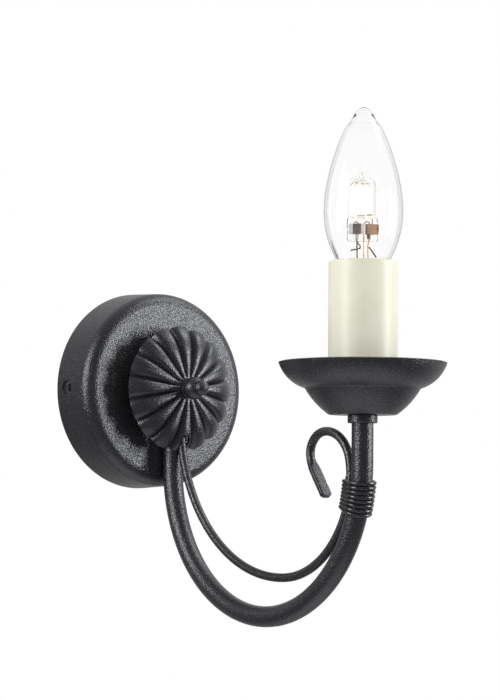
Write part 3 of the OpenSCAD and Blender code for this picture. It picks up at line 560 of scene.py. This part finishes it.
print("scroll rod")
rod = {
    "diameter": 4,
    "gap": 0.05,  # to the arm tube
    "top": 5.5,
    "straight": 20.3,  # how far below the plate's middle it starts to bend
    # radius of each bend, and the degrees it turns
    "bends": [(50, 18.8), (76.4, 74.3), (48.6, 64.7), (40, 31.8), (16.4, 84.2), (10.9, 48.4), (8.8, 72.3)],
    "stripWidth": 5.0,  # its top is a strip under the rosette
    "stripThick": 1.8,
    "stripEnd": -18.3,
    "roundFrom": -24,
    "stripRun": 40,  # the strip is within this length of the rod's start
    "bladeLength": 17.4,
    "bladeWidth": 5.8,
    "bladeThick": 2.4,
    "bladeBlend": (-3, 3.5),  # where round turns to flat, from the blade's start
    "bladeSteps": 24,
    "endRound": 1.2,
    "endNarrow": 0.42,  # share of its width that the blade loses at its very end
    "corners": 0.62,  # how sharp the flat stretches' corners are
    "hammer": 0.16,  # depth of the hammer marks
    "hammerMarks": 0.9,  # per millimetre
    "sides": 32,
}
rodOut = plateDepth + 2 * tubeRadius + rod["gap"] + rod["diameter"] / 2


# The rod's centreline as (distance out, height, heading, length so far)
def rodStations(step):
    out, up, heading, length = rodOut, -rod["straight"], -90.0, rod["straight"]
    stations = []
    for radius, turn in rod["bends"]:
        centreOut = out - radius * math.sin(math.radians(heading))
        centreUp = up + radius * math.cos(math.radians(heading))
        count = max(int(radius * math.radians(turn) / step), 3)
        for i in range(count + 1):
            turned = turn * i / count
            angle = math.radians(heading - 90 + turned)
            out, up = centreOut + radius * math.cos(angle), centreUp + radius * math.sin(angle)
            stations.append((out, up, heading + turned, length + radius * math.radians(turned)))
        out, up, heading, length = stations.pop()
    forward, rise = math.cos(math.radians(heading)), math.sin(math.radians(heading))
    for i in range(rod["bladeSteps"] + 1):
        reach = rod["bladeLength"] * i / rod["bladeSteps"]
        stations.append((out + reach * forward, up + reach * rise, heading, length + reach))
    return stations


# Cross-section of the rod: width, thickness, flatness (0 round, 1 flat) and offset of its middle
def rodSection(up, length, total):
    plain, bladeStart = rod["diameter"], total - rod["bladeLength"]
    strip = 1 - ease(-up, -rod["stripEnd"], -rod["roundFrom"]) if length < rod["stripRun"] else 0
    blade = ease(length, bladeStart + rod["bladeBlend"][0], bladeStart + rod["bladeBlend"][1])
    width = plain + (rod["stripWidth"] - plain) * strip + (rod["bladeWidth"] - plain) * blade
    thick = plain + (rod["stripThick"] - plain) * strip + (rod["bladeThick"] - plain) * blade
    return width, thick, max(strip, blade), (rod["stripThick"] - plain) / 2 * strip


# A cosine or sine, drawn out towards the corners of a flat section
def cornered(value, flat):
    return math.copysign(abs(value) ** (1 - rod["corners"] * flat), value)


def makeScrollRod():
    heights = range(int(2 * rod["top"]), int(-2 * rod["straight"]), -1)  # in half millimetres
    stations = [(rodOut, half / 2, -90.0, -half / 2) for half in heights] + rodStations(0.9)
    total = stations[-1][3]
    points, faces = [], []
    sides = rod["sides"]
    across = Vector((1, 0, 0))
    for out, up, heading, length in stations:
        width, thick, flat, offset = rodSection(up, length, total)
        slope = math.radians(heading)
        through = Vector((0, -math.cos(slope), math.sin(slope))).cross(across)  # out of the bends
        middle = Vector((0, -out - offset, up))
        ending = 1 - min((total - length) / rod["endRound"], 1)
        narrow = rod["endNarrow"] * (1 - math.sqrt(1 - ending**2))
        for i in range(sides):
            angle = 2 * math.pi * (i + 0.5) / sides
            spoke = across * (width / 2 * (1 - narrow) * cornered(math.cos(angle), flat))
            spoke += through * (thick / 2 * (1 - 0.4 * narrow) * cornered(math.sin(angle), flat))
            dent = noise.noise((middle + spoke) * rod["hammerMarks"]) * rod["hammer"] * flat
            points.append((middle + spoke + spoke.normalized() * dent) * mm)
    for k in range(len(stations) - 1):
        for i in range(sides):
            a, b = k * sides + i, k * sides + (i + 1) % sides
            faces.append((a, b, b + sides, a + sides))
    faces.append(tuple(range(sides)))
    faces.append(tuple(range(len(points) - 1, len(points) - sides - 1, -1)))
    mesh = bpy.data.meshes.new("scrollRod")
    mesh.from_pydata(points, [], faces)
    piece = bpy.data.objects.new("scrollRod", mesh)
    bpy.context.scene.collection.objects.link(piece)
    closeUp(piece)
    finishPiece(piece, "scrollRod", "fixture", forgedCoat, ["scroll_rod"], 50)


makeScrollRod()

print("binding wire")
binding = {
    "wire": 1.78,
    "pitch": 1.86,
    "turns": 8.2,
    "start": 6.1,  # degrees below level, about the arm's bend centre
    "span": 13,
    "rodBelow": -30,  # the rod is bound below this height
    "gap": 0.05,
    "steps": 48,
    "stray": 0.16,  # how far a turn strays along the arm
    "strayRate": 1.7,
}


# Distance from the arm's bend centre to the rod's middle, at an angle below level
def rodReach(angle):
    bound = [place for place in rodStations(0.4) if place[1] <= binding["rodBelow"]]
    places = [(place[0] - wallLegY - armRadius, arm["bendZ"] - place[1]) for place in bound]
    nearest = min(places, key=lambda place: abs(math.degrees(math.atan2(place[1], place[0])) - angle))
    return math.hypot(*nearest)


def makeBindingWire():
    start, span, wire = binding["start"], binding["span"], binding["wire"]
    reachLow, reachHigh = rodReach(start), rodReach(start + span)
    tubeRun = tubeRadius + wire / 2 + binding["gap"]
    rodRun = rod["diameter"] / 2 + wire / 2 + binding["gap"]
    points = []
    for i in range(int(binding["turns"] * binding["steps"]) + 1):
        turn = i / binding["steps"]
        stray = noise.noise(Vector((turn * binding["strayRate"], 0.3, 0))) * binding["stray"]
        travel = math.degrees((turn * binding["pitch"] + stray) / armRadius)
        angle = math.radians(start + travel)
        apart = armRadius - (reachLow + (reachHigh - reachLow) * travel / span)
        lap = math.pi - 2 * math.pi * turn
        onRod = math.cos(lap) < -(tubeRun - rodRun) / apart
        run = rodRun if onRod else tubeRun
        reach = armRadius + run * math.cos(lap) - (apart if onRod else 0)
        out = wallLegY + armRadius + reach * math.cos(angle)
        points.append(upright(out, arm["bendZ"] - reach * math.sin(angle), run * math.sin(lap)))
    piece = wirePiece(points, wire, 16)
    finishPiece(piece, "bindingWire", "fixture", smoothCoat, ["binding_wire"], 60)


makeBindingWire()

print("rosette")
rosette = {
    "radius": 30.3,
    "hub": 5.5,
    "hole": 3.2,
    "rise": 7.2,
    "petals": 16,
    "stepsPerPetal": 18,
    "rings": 26,
    "flute": 2.6,
    "fluteFlat": 3.3,  # more makes the ridges broader and the flutes between them sharper
    "fluteDeepest": 0.62,  # share of the way out to the rim
    "fluteFade": 1.9,  # how fast the flutes get shallower from there
    "scallop": 1.7,
    "droop": 0.65,  # share of the rise in the petals' turned-down ends
    "overArm": 0.85,  # how much the lowest petal stands up where it lies on the arm
    "overArmDown": (14, 26),  # from none to all of it, downwards
    "overArmAside": (2.5, 7),  # and from all to none of it, sideways
    "sheet": 0.8,
    "notchWidth": 5.2,
    "notchTop": -22.3,
    "notchLength": 14,
}


# How far a point stands between two flutes: 1 on a petal's ridge, 0 in the flute
def lobe(angle):
    turn = (angle / (2 * math.pi) * rosette["petals"] + 0.5) % 1
    return 1 - abs(2 * turn - 1) ** rosette["fluteFlat"]


# Height of a petal's ridge at a share of the way out to the rim
def petalHeight(share):
    droop = rosette["droop"]
    return -rosette["rise"] * ((1 - droop) * share**2 + droop * share**5)


def makeRosette():
    sides, rings = rosette["petals"] * rosette["stepsPerPetal"], rosette["rings"]
    hub, run = rosette["hub"], rosette["radius"] - rosette["hub"]
    profile = [(rosette["hole"], 0)]
    profile += [(hub + run * k / rings, petalHeight(k / rings)) for k in range(rings + 1)]
    piece = turnPiece(profile, sides)
    for point in piece.data.vertices:
        radius = math.hypot(point.co.x, point.co.y) / mm
        if radius < hub + 0.01:
            continue
        share = (radius - hub) / run
        hollow = 1 - lobe(math.atan2(point.co.y, point.co.x) + math.pi / 2)
        deep = 1 - rosette["fluteFade"] * (share - rosette["fluteDeepest"]) ** 2
        pull = 1 - rosette["scallop"] * hollow * share**4 / radius
        lift = ease(-point.co.y / mm, *rosette["overArmDown"])
        lift *= 1 - ease(abs(point.co.x / mm), *rosette["overArmAside"])
        point.co.x *= pull
        point.co.y *= pull
        point.co.z += (rosette["overArm"] * lift - rosette["flute"] * deep * hollow) * mm
    closeUp(piece)
    if sum(face.normal.z for face in piece.data.polygons) < 0:  # an open sheet may come out face down
        piece.data.flip_normals()
    addModifier(piece, "SOLIDIFY", thickness=rosette["sheet"] * mm, offset=-1, use_even_offset=True)
    outFromWall(piece, rosetteFrontY)
    letGo()
    width = rosette["notchWidth"]
    middle = upright(rosetteFrontY, rosette["notchTop"] - width / 2)
    cutter = holeCutter(width, 16, middle, 40)
    applyPlace(cutter)
    choosePoints(cutter, lambda co: co.z < middle.z - 0.01 * mm)
    bpy.ops.transform.translate(value=(0, 0, -rosette["notchLength"] * mm))
    bpy.ops.object.mode_set(mode="OBJECT")
    cutAway(piece, cutter)
    finishPiece(piece, "rosette", "fixture", pressedCoat, ["rosette"], 50)


makeRosette()

print("finial")
finial = {
    "seat": 9.8,
    "seatHeight": 1.5,
    "seatRound": 0.3,
    "ball": 10.9,
    "ballHeight": 4.3,
    "ballFoot": 0.4,  # height of the ball's foot above its seat
    "tip": 7.3,
    "neck": 5.8,
    "bore": 6.1,
    "boreDepth": 7.05,
}


def makeFinial():
    length = finialTipY - rosetteFrontY
    ball, tip, neck, bore = (finial[name] / 2 for name in ("ball", "tip", "neck", "bore"))
    seat, seatTop, soft = finial["seat"] / 2, finial["seatHeight"], finial["seatRound"]
    ballZ, tipZ, depth = finial["ballHeight"], length - tip, finial["boreDepth"]
    ballStart = -math.degrees(math.asin((ballZ - seatTop - finial["ballFoot"]) / ball))
    ballEnd = math.degrees(math.acos(neck / ball))
    tipStart = -math.degrees(math.acos(neck / tip))
    profile = [(bore, 0), (seat - soft, 0), (seat, soft), (seat, seatTop - soft), (seat - soft, seatTop)]
    profile += arcPoints((0, ballZ), ball, ballStart, ballEnd, 16)
    profile += arcPoints((0, tipZ), tip, tipStart, 88, 14)
    profile += [(poleRadius, length), (poleRadius, depth + 0.05), (bore, depth), (bore, 0)]
    piece = turnPiece(profile, 64)
    outFromWall(piece, rosetteFrontY)
    finishPiece(piece, "finial", "fixture", charcoalCoat, ["finial"], 35)


makeFinial()

print("drip pan")
pan = {
    "base": 15.4,
    "baseDrop": 0.8,  # the pressed floor stands this far below its seat
    "baseCorner": [(-1, 0), (-0.4, 0.15), (0.1, 0.5)],  # soft corner, from the base's edge
    "stepRadius": 25.3,
    "stepHeight": 11.6,
    "stepCorner": [(-0.3, -0.6), (-0.05, -0.2), (0.5, 0.1)],  # from the step's place
    "rim": 36.8,
    "height": 22.8,
    "sheet": 1.0,
    "hole": 3.95,
    "lowerBulge": 0.7,
    "upperBulge": 1.9,
}


def makeDripPan():
    base = [(pan["base"] + across, up) for across, up in pan["baseCorner"]]
    step = [(pan["stepRadius"] + across, pan["stepHeight"] + up) for across, up in pan["stepCorner"]]
    outer = [(pan["hole"], 0)] + base[:-1]
    outer += bulgePoints(base[-1], step[0], pan["lowerBulge"], 8) + [step[1]]
    outer += bulgePoints(step[2], (pan["rim"], pan["height"]), pan["upperBulge"], 14)
    inner = []
    for i, (radius, height) in enumerate(outer):
        before, after = outer[max(i - 1, 0)], outer[min(i + 1, len(outer) - 1)]
        along = (Vector(after) - Vector(before)).normalized()
        inner.append((radius - along.y * pan["sheet"], height + along.x * pan["sheet"]))
    inner[0] = (pan["hole"], pan["sheet"])
    piece = turnPiece(outer + inner[::-1] + [outer[0]], 160)
    onCandleAxis(piece, panBaseZ - pan["baseDrop"])
    finishPiece(piece, "dripPan", "fixture", charcoalCoat, ["drip_pan"], 42)


makeDripPan()

print("pan collar")
collar = {"radius": 6.55, "height": 3.6, "bore": 4.85, "soft": 0.35}


def makeCollar():
    radius, height, soft = collar["radius"], collar["height"], collar["soft"]
    profile = [(collar["bore"], 0), (radius - soft, 0), (radius, soft), (radius, height - soft)]
    profile += [(radius - soft, height), (collar["bore"], height), (collar["bore"], 0)]
    piece = turnPiece(profile, 64)
    onCandleAxis(piece, panBaseZ - pan["baseDrop"] - height)
    finishPiece(piece, "panCollar", "fixture", forgedCoat, ["pan_collar"], 35)


makeCollar()

print("candle sleeve")
sleeve = {"wall": 1.3, "lip": 0.5, "footRound": 0.2, "drop": 1.8}


def makeSleeve():
    radius = (sleeveHigh.x - sleeveLow.x) / 2 / mm
    bottom, top = sleeveLow.z / mm, sleeveHigh.z / mm - sleeve["drop"]
    bore, lip, foot = radius - sleeve["wall"], sleeve["lip"], sleeve["footRound"]
    profile = [(bore, bottom), (radius - foot, bottom), (radius, bottom + foot)]
    profile += arcPoints((radius - lip, top - lip), lip, 0, 90, 5)
    profile += arcPoints((bore + lip, top - lip), lip, 90, 180, 5) + [(bore, bottom)]
    piece = turnPiece(profile, 96)
    onCandleAxis(piece)
    finishPiece(piece, "candleSleeve", "sleeve", ivoryCandle, ["candle_sleeve"], 35)


makeSleeve()

print("lamp glass")
bulb = {
    "neck": 8.05,
    "neckZ": 43.2,
    "neckRise": 2.8,
    "neckPull": (3.5, 5),  # how the curve leaves the neck, outward and up
    "belly": 17.4,
    "bellyZ": 73.5,
    "bellyPull": (13.5, 18),  # how far the curve is drawn straight down and up from the belly
    "tipPull": 6.5,  # and sideways from the tip
    "tipZ": 119.3,
    "wall": 1.15,
    "tipWall": 1.3,
    "stepZ": 111,  # step where the drawn tip begins
    "stepIn": 0.55,
    "stepBlend": (-0.4, 0.9),  # from none to all of it, about its height
    "stepFade": (3, -1),  # from all to none of it, above the step and below the tip
}
lampTurn = math.radians(-38.3)  # how far the lamp is turned in its holder


# A point by the lamp's own axis: across the pinch, through it, and up
def onAxis(across, through, z):
    c, s = math.cos(lampTurn), math.sin(lampTurn)
    return Vector(((across * c - through * s) * mm, (candleY + across * s + through * c) * mm, z * mm))


# Points of a curve from a to d that b and c draw to themselves
def curvePoints(a, b, c, d, steps):
    points = []
    for i in range(steps + 1):
        t = i / steps
        s = 1 - t
        points.append(tuple(
            s**3 * a[k] + 3 * s * s * t * b[k] + 3 * s * t * t * c[k] + t**3 * d[k] for k in (0, 1)
        ))
    return points


# The glass's outline, inside a wall of some thickness at its side and tip
def bulbOutline(wall, tipWall, stepIn):
    neck = (bulb["neck"] - wall, bulb["neckZ"] + bulb["neckRise"])
    belly = (bulb["belly"] - wall, bulb["bellyZ"])
    tip, step = bulb["tipZ"] - tipWall, bulb["stepZ"]
    (out, up), (below, above) = bulb["neckPull"], bulb["bellyPull"]
    points = [(neck[0], bulb["neckZ"])]
    points += curvePoints(neck, (neck[0] + out, neck[1] + up), (belly[0], belly[1] - below), belly, 24)
    tipPull = (bulb["tipPull"] - wall, tip)
    points += curvePoints(belly, (belly[0], belly[1] + above), tipPull, (poleRadius, tip), 90)[1:]
    (blendFrom, blendTo), (fadeFrom, fadeTo) = bulb["stepBlend"], bulb["stepFade"]
    stepped = []
    for radius, height in points:
        drawn = ease(height, step + blendFrom, step + blendTo)
        drawn *= 1 - ease(height, step + fadeFrom, bulb["tipZ"] + fadeTo)
        stepped.append((radius - stepIn * drawn, height))
    return stepped


def makeBulb():
    outer = bulbOutline(0, 0, bulb["stepIn"])
    inner = bulbOutline(bulb["wall"], bulb["tipWall"], 0)
    piece = turnPiece(outer + inner[::-1] + [outer[0]], 96)
    onCandleAxis(piece)
    finishPiece(piece, "bulbGlass", "lamp", clearGlass, ["lamp_glass"], 60)


makeBulb()

print("halogen capsule")
capsule = {
    "across": -1.0,  # the capsule stands a little beside the lamp's axis
    "radius": 6.35,
    "wall": 0.6,
    "bottom": 70.4,
    "top": 87.7,
    "shoulder": 3.2,
    "footRound": 0.5,
    "pinchWidth": 13.6,
    "pinchThick": 2.8,
    "pinchBottom": 60.2,
    "pinchAside": 0.6,
    "pinchBlend": (-1.8, 2.2),  # from flat to round, about the capsule's bottom
}


# One skin of the capsule: a turned tube whose foot is pressed flat round the leads
def capsuleSkin(shrink):
    radius, soft, edge = capsule["radius"] - shrink, capsule["shoulder"] - shrink / 2, capsule["footRound"]
    bottom, top, foot = capsule["bottom"], capsule["top"] - shrink, capsule["pinchBottom"] + shrink
    profile = [(poleRadius, foot), (radius - edge, foot), (radius, foot + edge)]
    profile += [(radius, foot + 1 + i) for i in range(int(bottom + 3 - foot))]
    profile += arcPoints((radius - soft, top - soft), soft, 0, 88, 8) + [(poleRadius, top + 0.1)]
    skin = turnPiece(profile, 64)
    wide = (capsule["pinchWidth"] / 2 - shrink) / radius
    flat = (capsule["pinchThick"] / 2 - shrink) / radius
    blendFrom, blendTo = (bottom + rise for rise in capsule["pinchBlend"])
    for point in skin.data.vertices:
        full = ease(point.co.z / mm, blendFrom, blendTo)
        point.co.x *= wide + (1 - wide) * full
        point.co.x += capsule["pinchAside"] * (1 - full) * mm
        point.co.y *= flat + (1 - flat) * full
    return skin


def makeCapsule():
    shell, hollow = capsuleSkin(0), capsuleSkin(capsule["wall"])
    hollow.data.flip_normals()  # the inner skin faces the hollow
    letGo()
    shell.select_set(True)
    hollow.select_set(True)
    bpy.context.view_layer.objects.active = shell
    bpy.ops.object.join()
    shell.rotation_euler = (0, 0, lampTurn)
    shell.location = onAxis(capsule["across"], 0, 0)
    finishPiece(shell, "halogenCapsule", "lamp", capsuleGlass, ["halogen_capsule"], 50)


makeCapsule()

stub = {"radius": 0.8, "length": 2.8, "flare": 0.7, "gap": 0.12}


# Stub where the capsule was filled
def makeStub():
    radius, flare, bottom = stub["radius"], stub["flare"], capsule["top"] + stub["gap"]
    tip = bottom + stub["length"]
    profile = [(poleRadius, bottom), (radius + flare, bottom), (radius, bottom + flare)]
    profile += [(radius * 0.85, tip - 0.5), (radius * 0.5, tip - 0.1), (poleRadius, tip)]
    piece = turnPiece(profile, 24)
    piece.location = onAxis(capsule["across"], 0, 0)
    finishPiece(piece, "capsuleStub", "lamp", stubGlass, (), 50)


makeStub()

clipEdge = 0.12  # round of the clips' edges


# A block with soft edges that is turned with the lamp, by its size and middle
def makeSlab(name, size, middle, material):
    letGo()
    bpy.ops.mesh.primitive_cube_add(size=1)
    piece = bpy.context.active_object
    piece.scale = [length * mm for length in size]
    applyPlace(piece)
    addModifier(piece, "BEVEL", width=clipEdge * mm, segments=3, limit_method="NONE")
    piece.rotation_euler = (0, 0, lampTurn)
    piece.location = onAxis(*middle)
    finishPiece(piece, name, "lamp", material)


# Metal clips round the pinch and foils in it, and a painted shade on the copper clip: the reach across, the
# height, the thickness
clips = {
    "clipSilver": ((-6.4, -4.65), (63.5, 67.8), 3.4, silverClip),
    "clipBrown": ((-4.65, -1.1), (63.4, 67.8), 3.5, brownClip),
    "clipGrey": ((-0.95, -0.3), (63.5, 67.6), 3.2, silverClip),
    # painted shade: the copper clip's shaded left side, drawn as a slab of darker brown metal
    "copperClipShade": ((0.85, 1.7), (63.3, 67.6), 3.4, brownClip),
    "clipCopper": ((1.7, 6.7), (63.2, 67.55), 3.5, copperClip),
    "foilLeft": ((-3.6, -2.0), (61.0, 63.2), 0.5, silverClip),
    "foilRight": ((1.5, 3.1), (61.2, 63.2), 0.5, brownClip),
}
for name, ((left, right), (low, high), thick, material) in clips.items():
    size, middle = (right - left, thick, high - low), ((left + right) / 2, 0, (low + high) / 2)
    makeSlab(name, size, middle, material)

print("filament")
filament = {
    "radius": 1.1,
    "wire": 0.35,
    "turns": 9,
    "steps": 12,
    "bottom": 74.5,
    "top": 84.5,
    "post": 2.6,
}


def makeFilament():
    middle, post, radius = capsule["across"], filament["post"], filament["radius"]
    low, high = filament["bottom"], filament["top"]
    count = filament["turns"] * filament["steps"]
    points = [onAxis(middle + post, 0, capsule["bottom"])]
    for i in range(count + 1):
        turn = 2 * math.pi * i / filament["steps"]
        height = low + (high - low) * i / count
        points.append(onAxis(middle + radius * math.cos(turn), radius * math.sin(turn), height))
    points += [onAxis(middle - post, 0, high - 1), onAxis(middle - post, 0, capsule["bottom"])]
    piece = wirePiece(points, filament["wire"])
    finishPiece(piece, "filamentCoil", "lamp", filamentGlow, ["filament"], 60)


makeFilament()

glowShell = {"gap": 0.95, "foot": 2.4, "head": 4.6, "footRound": 1.4, "headRound": 2.2}


# Shell round the filament that shines with a painted glow
def makeGlowShell():
    radius = capsule["radius"] - capsule["wall"] - glowShell["gap"]
    low, high = capsule["bottom"] + glowShell["foot"], capsule["top"] - glowShell["head"]
    foot, head = glowShell["footRound"], glowShell["headRound"]
    profile = [(poleRadius, low)] + arcPoints((radius - foot, low + foot), foot, -90, 0, 5)
    profile += arcPoints((radius - head, high - head), head, 0, 90, 6) + [(poleRadius, high)]
    piece = turnPiece(profile, 48)
    piece.location = onAxis(capsule["across"], 0, 0)
    finishPiece(piece, "capsuleGlow", "lamp", paintedShellGlow, (), 60)


makeGlowShell()


# A bent wire of the lamp, through a few points by their place across, through and up
def makeLampWire(name, points, thick, sides, finish, stands=()):
    places = smoothPath([onAxis(*point) for point in points])
    finishPiece(wirePiece(places, thick, sides), name, "lamp", finish, stands, 60)


# Wires at the capsule's top, and the bar at its foot, that shine with a painted orange glow
topWires = {
    "topArc": [(-5.5, 0, 84.6), (-5.0, 0, 85.6), (-3.8, 0, 86.1), (-2.6, 0, 86.4)],
    "topLoop": [(-2.5, 0.4, 86.2), (-3.5, 0.5, 85.3), (-4.0, 0.2, 84.2), (-3.9, -0.3, 83.4)],
    "topHook": [(-1.1, 0.2, 86.2), (-0.3, 0.4, 85.3), (-1.0, 0, 84.4), (-1.9, -0.2, 83.9)],
    "topBend": [(2.2, 0, 86.1), (0.9, 0.2, 85.2), (-0.2, 0.1, 85.8)],
    "topShort": [(3.0, 0, 85.6), (2.9, 0, 83.8)],
}
footBar = [(-2.9, -1.2, 71.9), (-0.8, -1.5, 71.6), (1.4, -1.4, 71.8), (3.8, -1.0, 71.8)]
for name, points in topWires.items():
    makeLampWire(name, points, 0.38, 8, paintedWireGlow)
makeLampWire("footBar", footBar, 0.6, 8, paintedWireGlow)

print("support wires")
leftPost = [(-2.85, 0, 61.4), (-2.8, 0, 59), (-2.7, 0, 55), (-2.6, 0, 50.4)]
copperPosts = {
    "rightPost": [(2.6, 0, 61.4), (2.2, 0.1, 59.4), (2.0, 0, 57), (2.05, 0, 50.4)],
    "middlePost": [(0.15, -1.9, 67.8), (0.15, -1.9, 64), (0.1, -0.8, 60), (0.05, 0, 50.4)],
}
tieWires = {
    "slantWire": [(2.45, -0.6, 57.7), (4.0, -0.5, 55.6), (5.65, -0.3, 53.2)],
    "crossWire": [
        (-2.8, 0.1, 60.3), (-2.3, -0.2, 59.3), (-1.35, -0.4, 58.0), (-1.6, -0.5, 57.1),
        (-2.9, -0.5, 56.8), (-5.5, -0.3, 56.2),
    ],
}
leads = {
    "leadLeft": [(-4.0, -1.9, 68.0), (-3.6, -1.9, 68.4), (-2.6, -1.9, 68.3), (-2.3, -1.9, 67.6)],
    "leadRight": [(0.1, -1.9, 67.4), (0.9, -1.9, 68.4), (2.2, -1.9, 68.4), (2.7, -1.9, 67.4)],
    "leadUp": [(3.8, 0, 67.2), (3.85, 0, 70.2)],
    "leadDown": [(1.4, -0.6, 63.4), (1.9, -0.5, 62.0), (2.5, -0.2, 60.9)],
}
makeLampWire("leftPost", leftPost, 0.6, 12, leadMetal, ["support_wires"])
for name, points in copperPosts.items():
    makeLampWire(name, points, 0.6, 12, copperLead)
for name, points in tieWires.items():
    makeLampWire(name, points, 0.65, 12, leadMetal)
for name, points in leads.items():
    makeLampWire(name, points, 0.4, 12, leadMetal)

print("wires in the plate")
wiring = {
    "diameter": 1.7,
    "y": 7.5,
    "clampX": 8,  # the live wire's clamp, beside the middle
    "clampZ": 15,
    "crossFrom": 10,  # heights between which a wire goes over to its own side
    "crossTo": -3,
    "offset": 1.5,
    "bend": 5,
    "holderZ": 7.5,
}


# From its clamp through the plate's hole and the arm up into the lampholder
def lampWirePath(clampX, across):
    y, bend, holeZ = wiring["y"], wiring["bend"], plate["wireHoleZ"]
    points = [upright(y, wiring["clampZ"], clampX)]
    for i in range(9):
        z = wiring["crossFrom"] + (wiring["crossTo"] - wiring["crossFrom"]) * i / 8
        points.append(upright(y, z, clampX + (across - clampX) * ease(i / 8, 0, 1)))
    run = [(y, holeZ + bend)] + arcPoints((y + bend, holeZ + bend), bend, 195, 270, 5)
    run += arcPoints((wallLegY - bend, holeZ - bend), bend, 90, 0, 6)
    run += arcPoints((wallLegY + armRadius, arm["bendZ"]), armRadius, 180, 360, 36)
    run += [(-candleY, wiring["holderZ"])]
    return points + [upright(out, z, across) for out, z in run]


def makeLampWiring(name, clampX, across, finish, node):
    piece = wirePiece(lampWirePath(clampX, across), wiring["diameter"], 16)
    finishPiece(piece, name, "fixture", finish, [node], 60)


makeLampWiring("liveWire", wiring["clampX"], wiring["offset"], brownWire, "live_wire")
makeLampWiring("neutralWire", 0, -wiring["offset"], blueWire, "neutral_wire")

print("finishes of the other parts")
finishes = {
    "zinc_steel": zincSteel,
    "brass": yellowBrass,
    "terminal_plastic": blockPlastic,
    "grommet_rubber": blackRubber,
    "holder_plastic": holderPlastic,
    "cap_aluminium": capAluminium,
    "cap_glass": capVitrite,
    "clear_glass": clearGlass,
    "earth_insulation": earthGreen,
}
for subpart in frame["record"]["subparts"]:
    node = frame["nodes"][subpart["node"]]
    finish = finishes.get(subpart["material_slot"])
    if finish and not node.hide_render:
        node.data.materials.clear()
        node.data.materials.append(finish)

print("floor, lights and camera")
studio = {
    "floorRadius": 0.7,  # metres, as all places of the floor, lamps and camera
    "floorDrop": 0.9,
    "floorColour": (0.55, 0.55, 0.55),
    "floorLift": 0.65,  # whitens the floor for the eye, and leaves the shadow on it
    "seen": 1.0,  # white for the eye and through glass
    "glossBack": 0.6,
    "glossFront": 0.09,
    "diffuse": 0.72,
    "backdrop": (0.66, 0.56, 0.5),  # way to the backdrop
    "aim": 0.6,  # share of the way out to the candle at which the lamps point
}


def makeFloor():
    letGo()
    bpy.ops.mesh.primitive_circle_add(
        vertices=96, radius=studio["floorRadius"], fill_type="NGON",
        location=(0, candleY * mm / 2, cadLow.z - studio["floorDrop"]),
    )
    floor = bpy.context.active_object
    floor.name = "floor"
    material, shader = newMaterial("pale_floor", studio["floorColour"], 0.7)
    floor.data.materials.append(material)
    nodes, links = material.node_tree.nodes, material.node_tree.links
    path = nodes.new("ShaderNodeLightPath")
    lift = nodes.new("ShaderNodeMath")
    lift.operation = "MULTIPLY"
    lift.inputs[1].default_value = studio["floorLift"]
    shader.inputs["Emission Color"].default_value = (1, 1, 1, 1)
    links.new(path.outputs["Is Camera Ray"], lift.inputs[0])
    links.new(lift.outputs["Value"], shader.inputs["Emission Strength"])


makeFloor()


# White for the eye and through glass, a backdrop that fades to a dim room for gloss, and
# plain soft light for everything else
def makeWorld():
    world = bpy.data.worlds.new("studio")
    bpy.context.scene.world = world
    world.use_nodes = True
    nodes, links = world.node_tree.nodes, world.node_tree.links
    background = nodes["Background"]
    background.inputs["Color"].default_value = (1, 1, 1, 1)
    place = nodes.new("ShaderNodeTexCoord")
    way = nodes.new("ShaderNodeVectorMath")
    way.operation = "DOT_PRODUCT"
    way.inputs[1].default_value = studio["backdrop"]
    links.new(place.outputs["Generated"], way.inputs[0])
    gloss = spread(world, way.outputs["Value"], 0, 0.9, studio["glossFront"], studio["glossBack"])
    path = nodes.new("ShaderNodeLightPath")
    rays = ("Is Glossy Ray", "Is Transmission Ray", "Is Camera Ray")
    choices = [nodes.new("ShaderNodeMix") for ray in rays]
    for ray, choice in zip(rays, choices):
        links.new(path.outputs[ray], choice.inputs["Factor"])
        choice.inputs["B"].default_value = studio["seen"]
    forGloss, throughGlass, forEye = choices
    forGloss.inputs["A"].default_value = studio["diffuse"]
    links.new(gloss, forGloss.inputs["B"])
    links.new(forGloss.outputs["Result"], throughGlass.inputs["A"])
    links.new(throughGlass.outputs["Result"], forEye.inputs["A"])
    links.new(forEye.outputs["Result"], background.inputs["Strength"])


makeWorld()

# Soft boxes: their place, width, height and power
lamps = {
    "keyBox": {"place": (0.51, -0.65, 0.1), "size": (0.17, 0.45), "power": 2.45},
    "sideBox": {"place": (-0.96, 0.04, 0.26), "size": (0.38, 0.7), "power": 4.5},
    "topBox": {"place": (0.55, -0.36, 0.76), "size": (0.5, 0.4), "power": 2},
}


def makeLamp(name, place, size, power):
    light = bpy.data.lights.new(name, "AREA")
    light.shape = "RECTANGLE"
    light.size, light.size_y = size
    light.energy = power
    lamp = bpy.data.objects.new(name, light)
    bpy.context.scene.collection.objects.link(lamp)
    lamp.location = place
    aim = Vector((0, candleY * mm * studio["aim"], 0)) - Vector(place)
    lamp.rotation_euler = aim.to_track_quat("-Z", "Y").to_euler()


for name, lamp in lamps.items():
    makeLamp(name, **lamp)

camera = {
    "place": (-0.63093, -0.88934, -0.05147),
    "azimuth": -38.259,
    "rise": 3.804,
    "roll": 0.419,
    "lens": 113.12,
    "sensor": 36,
}


def makeCamera():
    lens = bpy.data.cameras.new("camera")
    eye = bpy.data.objects.new("camera", lens)
    bpy.context.scene.collection.objects.link(eye)
    lens.sensor_width = camera["sensor"]
    lens.lens = camera["lens"]
    lens.clip_start, lens.clip_end = 0.05, 20
    eye.matrix_world = (
        Matrix.Translation(camera["place"])
        @ Matrix.Rotation(math.radians(camera["azimuth"]), 4, "Z")
        @ Matrix.Rotation(math.radians(90 + camera["rise"]), 4, "X")
        @ Matrix.Rotation(math.radians(camera["roll"]), 4, "Z")
    )
    bpy.context.scene.camera = eye


makeCamera()
bpy.context.scene.view_settings.view_transform = "Standard"
